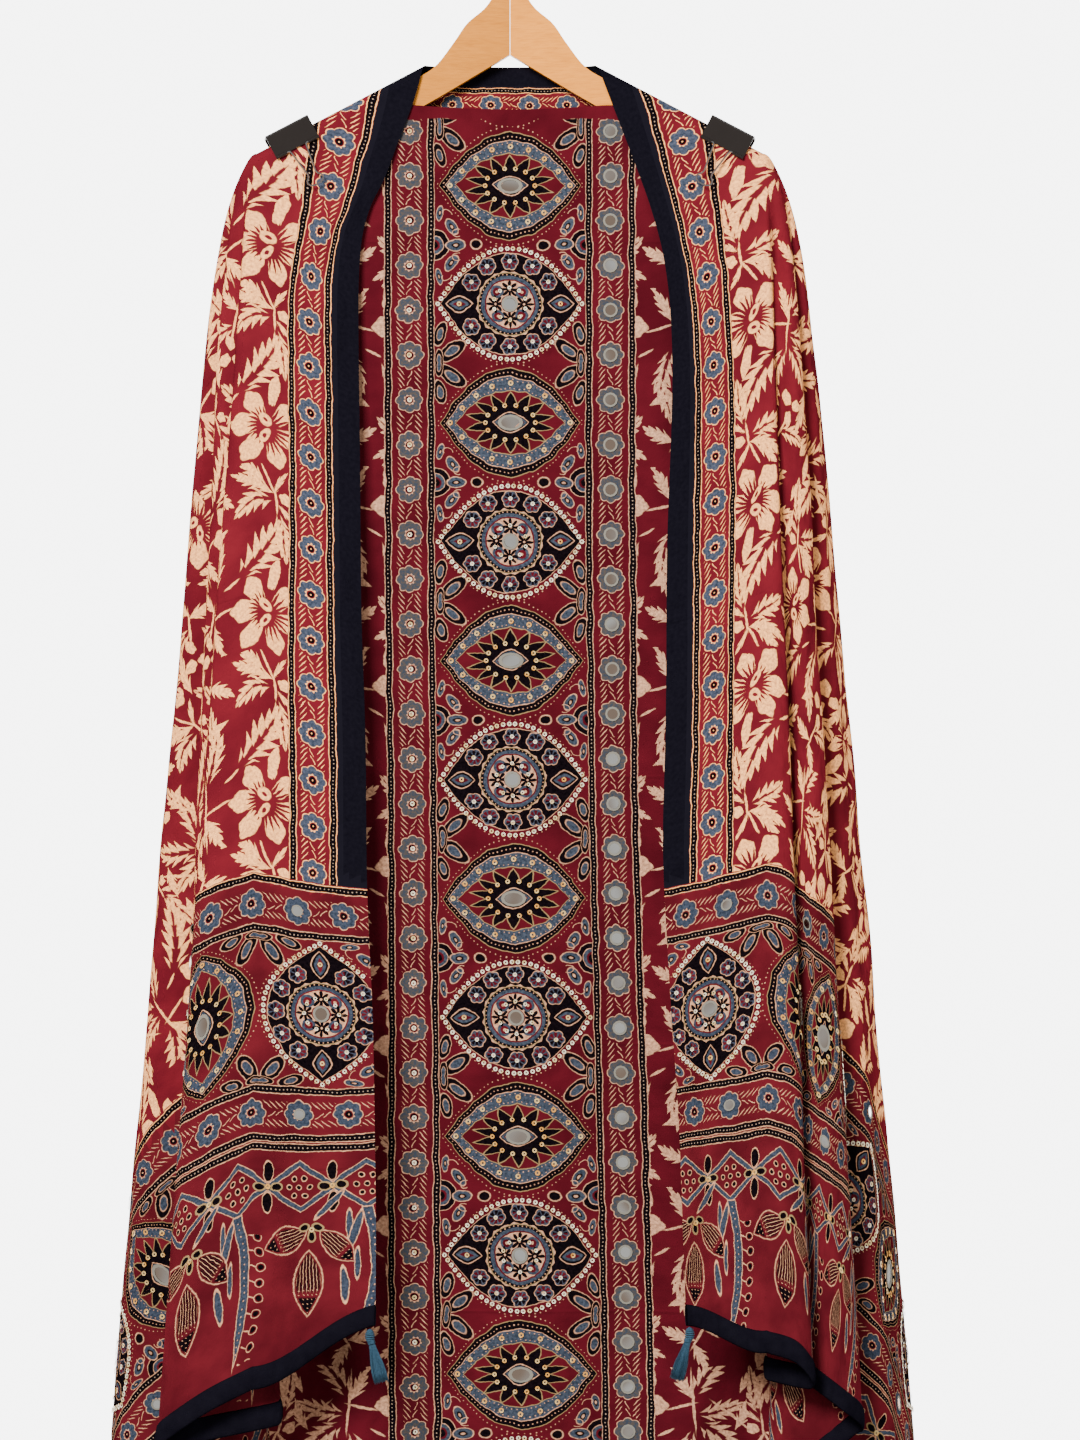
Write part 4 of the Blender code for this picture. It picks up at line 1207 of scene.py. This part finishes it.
def make_tassel(side, thread):
    """A wound head, a tied neck and a skirt of fine threads."""
    seat = TASSEL_SEAT[side]
    corner = shawl_surface(side, SHAWL_HALF_LENGTH, 4 * MM)
    top = corner - Vector((0, 0, GAP - seat))
    centre = top - Vector((0, 0, 1.5 * TASSEL_HEAD_RADIUS))
    tilt = Matrix.Rotation(math.radians(TASSEL_TILT[side]), 3, "Y")
    vertices, faces = [], []
    loops, (wide, deep) = 9, TASSEL_NECK
    turns = [2 * math.pi * step / 14 for step in range(15)]
    for loop in range(loops):
        share = (loop + 0.5) / loops
        height = 1.5 * TASSEL_HEAD_RADIUS * math.cos(math.pi * share)
        radius = TASSEL_HEAD_RADIUS * math.sin(math.pi * share)
        ring = [centre + Vector((radius * math.cos(a), 0.9 * radius * math.sin(a), height))
                for a in turns]
        tube(ring, [0.85 * MM] * len(ring), 5, vertices, faces)
    for wind in range(4):
        height = -1.15 * TASSEL_HEAD_RADIUS - 0.8 * MM * wind
        ring = [centre + tilt @ Vector((wide * math.cos(a), deep * math.sin(a), height)) for a in turns]
        tube(ring, [0.5 * MM] * len(ring), 4, vertices, faces)
    for strand in range(TASSEL_STRANDS):
        turn = strand * GOLDEN_TURN
        spread = TASSEL_SPREAD * math.sqrt((strand + 0.5) / TASSEL_STRANDS)
        sway = noise.noise(Vector((strand * 0.7, SIDES[side], 0)))
        points = []
        for step in range(6):
            down = step / 5
            flare = 0.36 + 0.64 * smoothstep(0, 0.8, down)
            points.append(centre + tilt @ Vector((
                (spread * flare + 1.6 * MM * sway * down) * math.cos(turn),
                0.6 * spread * flare * math.sin(turn),
                -1 * TASSEL_HEAD_RADIUS - (TASSEL_DROP - 5 * MM + 3 * MM * sway) * down)))
        tube(points, [0.32 * MM] * 5 + [0.22 * MM], 3, vertices, faces)
    mesh = bpy.data.meshes.new(f"thread_tassel_{side}")
    mesh.from_pydata(vertices, [], faces)
    mesh.shade_smooth()
    return piece(f"thread_tassel_{side}", mesh, f"tassel_{side}", f"tassel_{side}", thread)


def smooth_outline(points, steps):
    """More points on a curve through a list of them."""
    table = [(0, *points[0])]
    for before, after in zip(points, points[1:]):
        table.append((table[-1][0] + math.dist(before, after), *after))
    end = table[-1][0]
    return [tuple(smooth_row(table, end * step / steps)) for step in range(steps + 1)]


def make_arm(side, wood):
    """One half of the hanger, rounded along its edges and swept forwards."""
    sign = SIDES[side]
    top = ARM_TOP[:2] + smooth_outline(ARM_TOP[1:], 46)[1:]
    under = smooth_outline(ARM_UNDERSIDE[:3], 6) + smooth_outline(ARM_UNDERSIDE[2:], 30)[1:]
    outline = [(max(out * MM, GAP / 2), -depth * MM) for out, depth in top + under]
    flat = bmesh.new()
    ring = [flat.verts.new((sign * out, ARM_THICKNESS / 2, height)) for out, height in outline]
    face = flat.faces.new(ring)
    pushed = bmesh.ops.extrude_face_region(flat, geom=[face])
    moved_ = [item for item in pushed["geom"] if isinstance(item, bmesh.types.BMVert)]
    bmesh.ops.translate(flat, verts=moved_, vec=(0, -ARM_THICKNESS, 0))
    outer = [edge for edge in flat.edges if edge.is_manifold
             and edge.calc_face_angle(0) > math.radians(60)
             and min(abs(vertex.co.x) for vertex in edge.verts) > MM]
    bmesh.ops.bevel(flat, geom=outer, offset=ARM_EDGE_ROUND, segments=4, affect="EDGES",
                    profile=0.5, clamp_overlap=True)
    for vertex in flat.verts:
        vertex.co.y += arm_y(abs(vertex.co.x))
    bmesh.ops.triangulate(flat, faces=[face for face in flat.faces if len(face.verts) > 4])
    bmesh.ops.recalc_face_normals(flat, faces=flat.faces)
    mesh = bpy.data.meshes.new(f"wood_arm_{side}")
    flat.to_mesh(mesh)
    flat.free()
    mesh.shade_smooth()
    mesh.set_sharp_from_angle(angle=math.radians(35))
    return piece(f"wood_arm_{side}", mesh, f"hanger_wood_{side}", f"hanger_arm_{side}", wood)


def repaint(node_name, finish_):
    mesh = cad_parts[node_name].data
    mesh.materials.clear()
    mesh.materials.append(finish_)


# Sequins, mirrors and their thread rings
END_ROUNDS = range(5)


def oval_ring(count, wide, tall, start=0):
    turns = [start + 2 * math.pi * step / count for step in range(count)]
    return [(wide * math.cos(turn), tall * math.sin(turn)) for turn in turns]


def pointed_ring(count, level, wide, tall, fullness):
    """Evenly spaced places round a medallion's pointed oval."""
    line = []
    for step in range(721):
        turn = math.pi * step / 360
        x = wide * level ** (1 / fullness) * math.cos(turn)
        y = tall * (level - (abs(x) / wide) ** fullness)
        line.append((x, math.copysign(y, math.sin(turn))))
    run = [0]
    for before, after in zip(line, line[1:]):
        run.append(run[-1] + math.dist(before, after))
    return [line[int(np.searchsorted(run, run[-1] * step / count))] for step in range(count)]


def medallion_trims(eye):
    """What is sewn on a medallion: kind, place, half width and half height."""
    if eye:
        trims = [("gilt", x, y, 2.3, 2.3) for x, y in pointed_ring(16, 0.715, *EYE_RIM)]
        trims += [("gilt", x, y, 2, 2) for x, y in oval_ring(14, 21.5, 15)]
        return trims + [("mirror", 0, 0, 8, 5)]
    trims = [("sequin", x, y, 1.95, 1.95) for x, y in pointed_ring(62, 1, *WHEEL_RIM)]
    trims += [("sequin", x, y, 1.7, 1.7) for x, y in oval_ring(10, 14, 14, 0.3)]
    for aside in (1, -1):
        trims.append(("gilt", WHEEL_DROP * aside, 0, 2.1, 2.1))
        for across, along in WHEEL_ROSETTES:
            for down in (1, -1):
                if across or aside > 0:
                    trims.append(("sequin", across * aside, along * down, 1.8, 1.8))
    return trims + [("mirror", 0, 0, 5.2, 5.2)]


def panel_trims():
    trims = []
    for number in range(12):
        for kind, x, y, wide, tall in medallion_trims(number % 2 == 0):
            trims.append((kind, x, PANEL_EYE + MEDALLION_PITCH * number + y, wide, tall))
    middle = sum(PANEL_ZONES["stripe"]) / 2
    for number in range(31):
        along = FLOWER_PITCH * (number + 0.5)
        trims.append(("mirror", middle, along, 4.6, 4.6))
        trims.append(("sequin", -middle, along, 2.1, 2.1))
    hem = (panel_top(0) - PANEL_HEM_Z) / MM
    return [row for row in trims if row[2] + row[4] < hem - 3]


def end_trims(side):
    trims = []
    for number in END_ROUNDS:
        for eye in (True, False):
            middle = END_ROUND + 2 * MEDALLION_PITCH * number + MEDALLION_PITCH * eye
            for kind, x, y, wide, tall in medallion_trims(eye):
                trims.append((kind, middle + y, END_MIDDLE + x / END_STRETCH, tall, wide))
    for number in range(22):
        across = FLOWER_PITCH * (number + 0.5)
        for zone, every in (("flowers", 3), ("flowers_2", 4)):
            if number % every == 1:
                trims.append(("mirror", across, sum(END_ZONES[zone]) / 2, 3.6, 3.6))
    heart, swag = 48.5 if side == "left" else 15.4, END_ZONES["toran"]
    for number in range(17):
        place = TORAN_PITCH / 2 * number
        trims.append(("gilt", 32 + place, swag + TORAN_LINE, 2.3, 2.3))
        if number % 2 == 0:
            trims.append(("gilt", heart + place, swag + TORAN_HEART[1], 2.3, 2.3))
    return [row for row in trims if 3 < row[1] < SHAWL_WIDTH / MM - 3]


# What it is sewn on with, size, hole, lift and cup in millimetres, and tilt.
TRIM_SHAPES = {
    "sequin": ("sequin", 1, 0.4, 0.9, 0.25, 0.1), "gilt": ("gilt", 1, 0.4, 0.9, 0.25, 0.1),
    "mirror": ("mirror", 1, 0, 0.8, 0, 0.1), "ring": ("mirror", 1.38, 0.72, 1, 0, 0),
}


def sewn_mesh(name, trims, kind, place, flip):
    """The trims of one kind: cupped rings for sequins, discs and thread rings for mirrors."""
    sewn_as, grow, hole, lift, cup, tilt = TRIM_SHAPES[kind]
    vertices, faces = [], []
    step = 2 * MM
    for number, (what, across, along, wide, tall) in enumerate(trims):
        if what != sewn_as:
            continue
        u, v = across * MM, along * MM
        aside = (place(u + step, v) - place(u - step, v)).normalized()
        down = (place(u, v + step) - place(u, v - step)).normalized()
        normal = aside.cross(down).normalized() * flip
        here = place(u, v)
        lean = Vector((math.sin(number * 2.4), math.cos(number * 1.7), 0)) * tilt
        first, sides = len(vertices), 12
        for share, rise in ((1, lift * MM), (hole, (lift - cup) * MM)):
            for turn in range(sides if share else 1):
                x = share * grow * wide * MM * math.cos(2 * math.pi * turn / sides)
                y = share * grow * tall * MM * math.sin(2 * math.pi * turn / sides)
                up = rise + lean.x * x + lean.y * y
                vertices.append(here + aside * x + down * y + normal * up)
        for turn in range(sides):
            after, inner = (turn + 1) % sides, first + sides
            inside = (inner + after, inner + turn) if hole else (inner,)
            faces.append((first + turn, first + after, *inside))
    mesh = bpy.data.meshes.new(name)
    mesh.from_pydata(vertices, [], faces)
    return mesh


def sew_on(name, trims, place, flip, slot, finishes):
    for kind in TRIM_SHAPES:
        mesh = sewn_mesh(f"{name}_{kind}s", trims, kind, place, flip)
        piece(mesh.name, mesh, slot, None, finishes[kind])


# Finishes of the trims: roughness, metal, scale and edge of the mottle, and two tones.
SHINY = {
    "sequin": ("sequins", 0.26, 0.25, 160, 0.56, 0.05, (0.62, 0.54, 0.39), (0.5, 0.36, 0.16)),
    "gilt": ("gilt_sequins", 0.26, 0.3, 160, 0.5, 0.08, (0.52, 0.24, 0.05), (0.52, 0.35, 0.14)),
    # The mirrors' base runs from warm brown to near white. The warm tone is painted reflection, for the
    # brownish reflections some mirrors show.
    "mirror": ("mirrors", 0.22, 1, 24, 0.5, 0.14, (0.46, 0.34, 0.26), (0.92, 0.91, 0.86)),
}


def trim_finishes():
    finishes = {}
    for kind, (name, roughness, metallic, scale, edge, soft, first, second) in SHINY.items():
        finishes[kind], shader = finish(name, roughness, metallic)
        tone = above(noisy(node("TexCoord", out=3), scale, 1), edge, soft)
        wire_in(shader, "Base Color", blend(tone, first, second))
    finishes["ring"] = plain_finish("thread_rings", (0.17, 0.155, 0.125), 0.5, 0.2, 0.3)
    return finishes


# Studio, in metres. The glowing wall stands far behind, out of the way of views from there.
CAMERA_AWAY = 6
PICTURE_HEIGHT = 1.243
WALL = (28, 8, 21.5)
WALL_GLOW = 6.4


def area_light(name, place, aim, size, power):
    lamp = bpy.data.lights.new(name, "AREA")
    lamp.shape = "SQUARE"
    lamp.size = size
    lamp.energy = power
    made = put(name, lamp)
    made.location = place
    made.rotation_euler = (Vector(aim) - Vector(place)).to_track_quat("-Z", "Y").to_euler()
    made.visible_glossy = False
    made.visible_camera = False


def make_studio():
    camera = bpy.data.cameras.new("camera")
    camera.sensor_width = 36
    camera.lens = camera.sensor_width * CAMERA_AWAY / PICTURE_HEIGHT
    camera.clip_end = 60
    stand = put("camera", camera)
    stand.location = (0.0259, -CAMERA_AWAY, -0.7033)
    stand.rotation_euler = (math.radians(90), 0, 0)
    bpy.context.scene.camera = stand
    world = bpy.data.worlds.new("studio")
    world.use_nodes = True
    sky = world.node_tree.nodes["Background"].inputs
    sky["Color"].default_value, sky["Strength"].default_value = (1, 1, 1, 1), 0.5
    bpy.context.scene.world = world
    wall = bpy.data.meshes.new("backdrop")
    across, back, up = WALL
    wall.from_pydata([(-across, back, -up), (across, back, -up), (across, back, up),
                      (-across, back, up)], [], [(0, 1, 2, 3)])
    made, shader = finish("backdrop_paper", 0.9)
    shader.inputs["Base Color"].default_value = (0, 0, 0, 1)
    shader.inputs["Specular IOR Level"].default_value = 0
    shader.inputs["Emission Color"].default_value = (1, 1, 1, 1)
    shader.inputs["Emission Strength"].default_value = WALL_GLOW
    wall.materials.append(made)
    put("backdrop", wall)
    area_light("key", (-1.2, -3.7, 1.1), (0, 0, -0.7), 1.3, 600)
    area_light("fill", (1.6, -3.6, -1.6), (0, 0, -0.9), 2, 70)


def main():
    make_studio()
    shawl = make_shawl()
    panel = make_panel()
    navy = navy_finish()
    bindings = {side: make_binding(side, navy) for side in SIDES}
    thread = two_tone("teal_thread", *TEAL, 0.5, 0.1, 700, 2)[0]
    for side in SIDES:
        make_tassel(side, thread)
    # Painted light and shade: the left arm's wood is darkened and the right arm's lightened, for how
    # light falls on the two arms.
    for side, depth in (("left", 0.85), ("right", 1.12)):
        make_arm(side, wood_finish(side, depth))
    trim = trim_finishes()
    sew_on("panel", panel_trims(), lambda u, v: panel_surface(u, v + panel_top(u) - panel_top(0)),
           -1, "panel_cloth", trim)
    for side, flip in (("left", 1), ("right", -1)):
        sew_on(f"end_{side}", end_trims(side), lambda u, v: shawl_surface(side, v, u), flip,
               "shawl_cloth", trim)
    steel = plain_finish("bright_wire", (0.44, 0.43, 0.42), 0.28, 1, 0.5)
    black = plain_finish("black_steel", (0.01, 0.0076, 0.0066), 0.34, 0, 0.3)
    repaint("hanger_hook", steel)
    for side in SIDES:
        repaint(f"clip_{side}_body", black)
        for facing in ("front", "back"):
            repaint(f"clip_{side}_handle_{facing}", steel)


main()
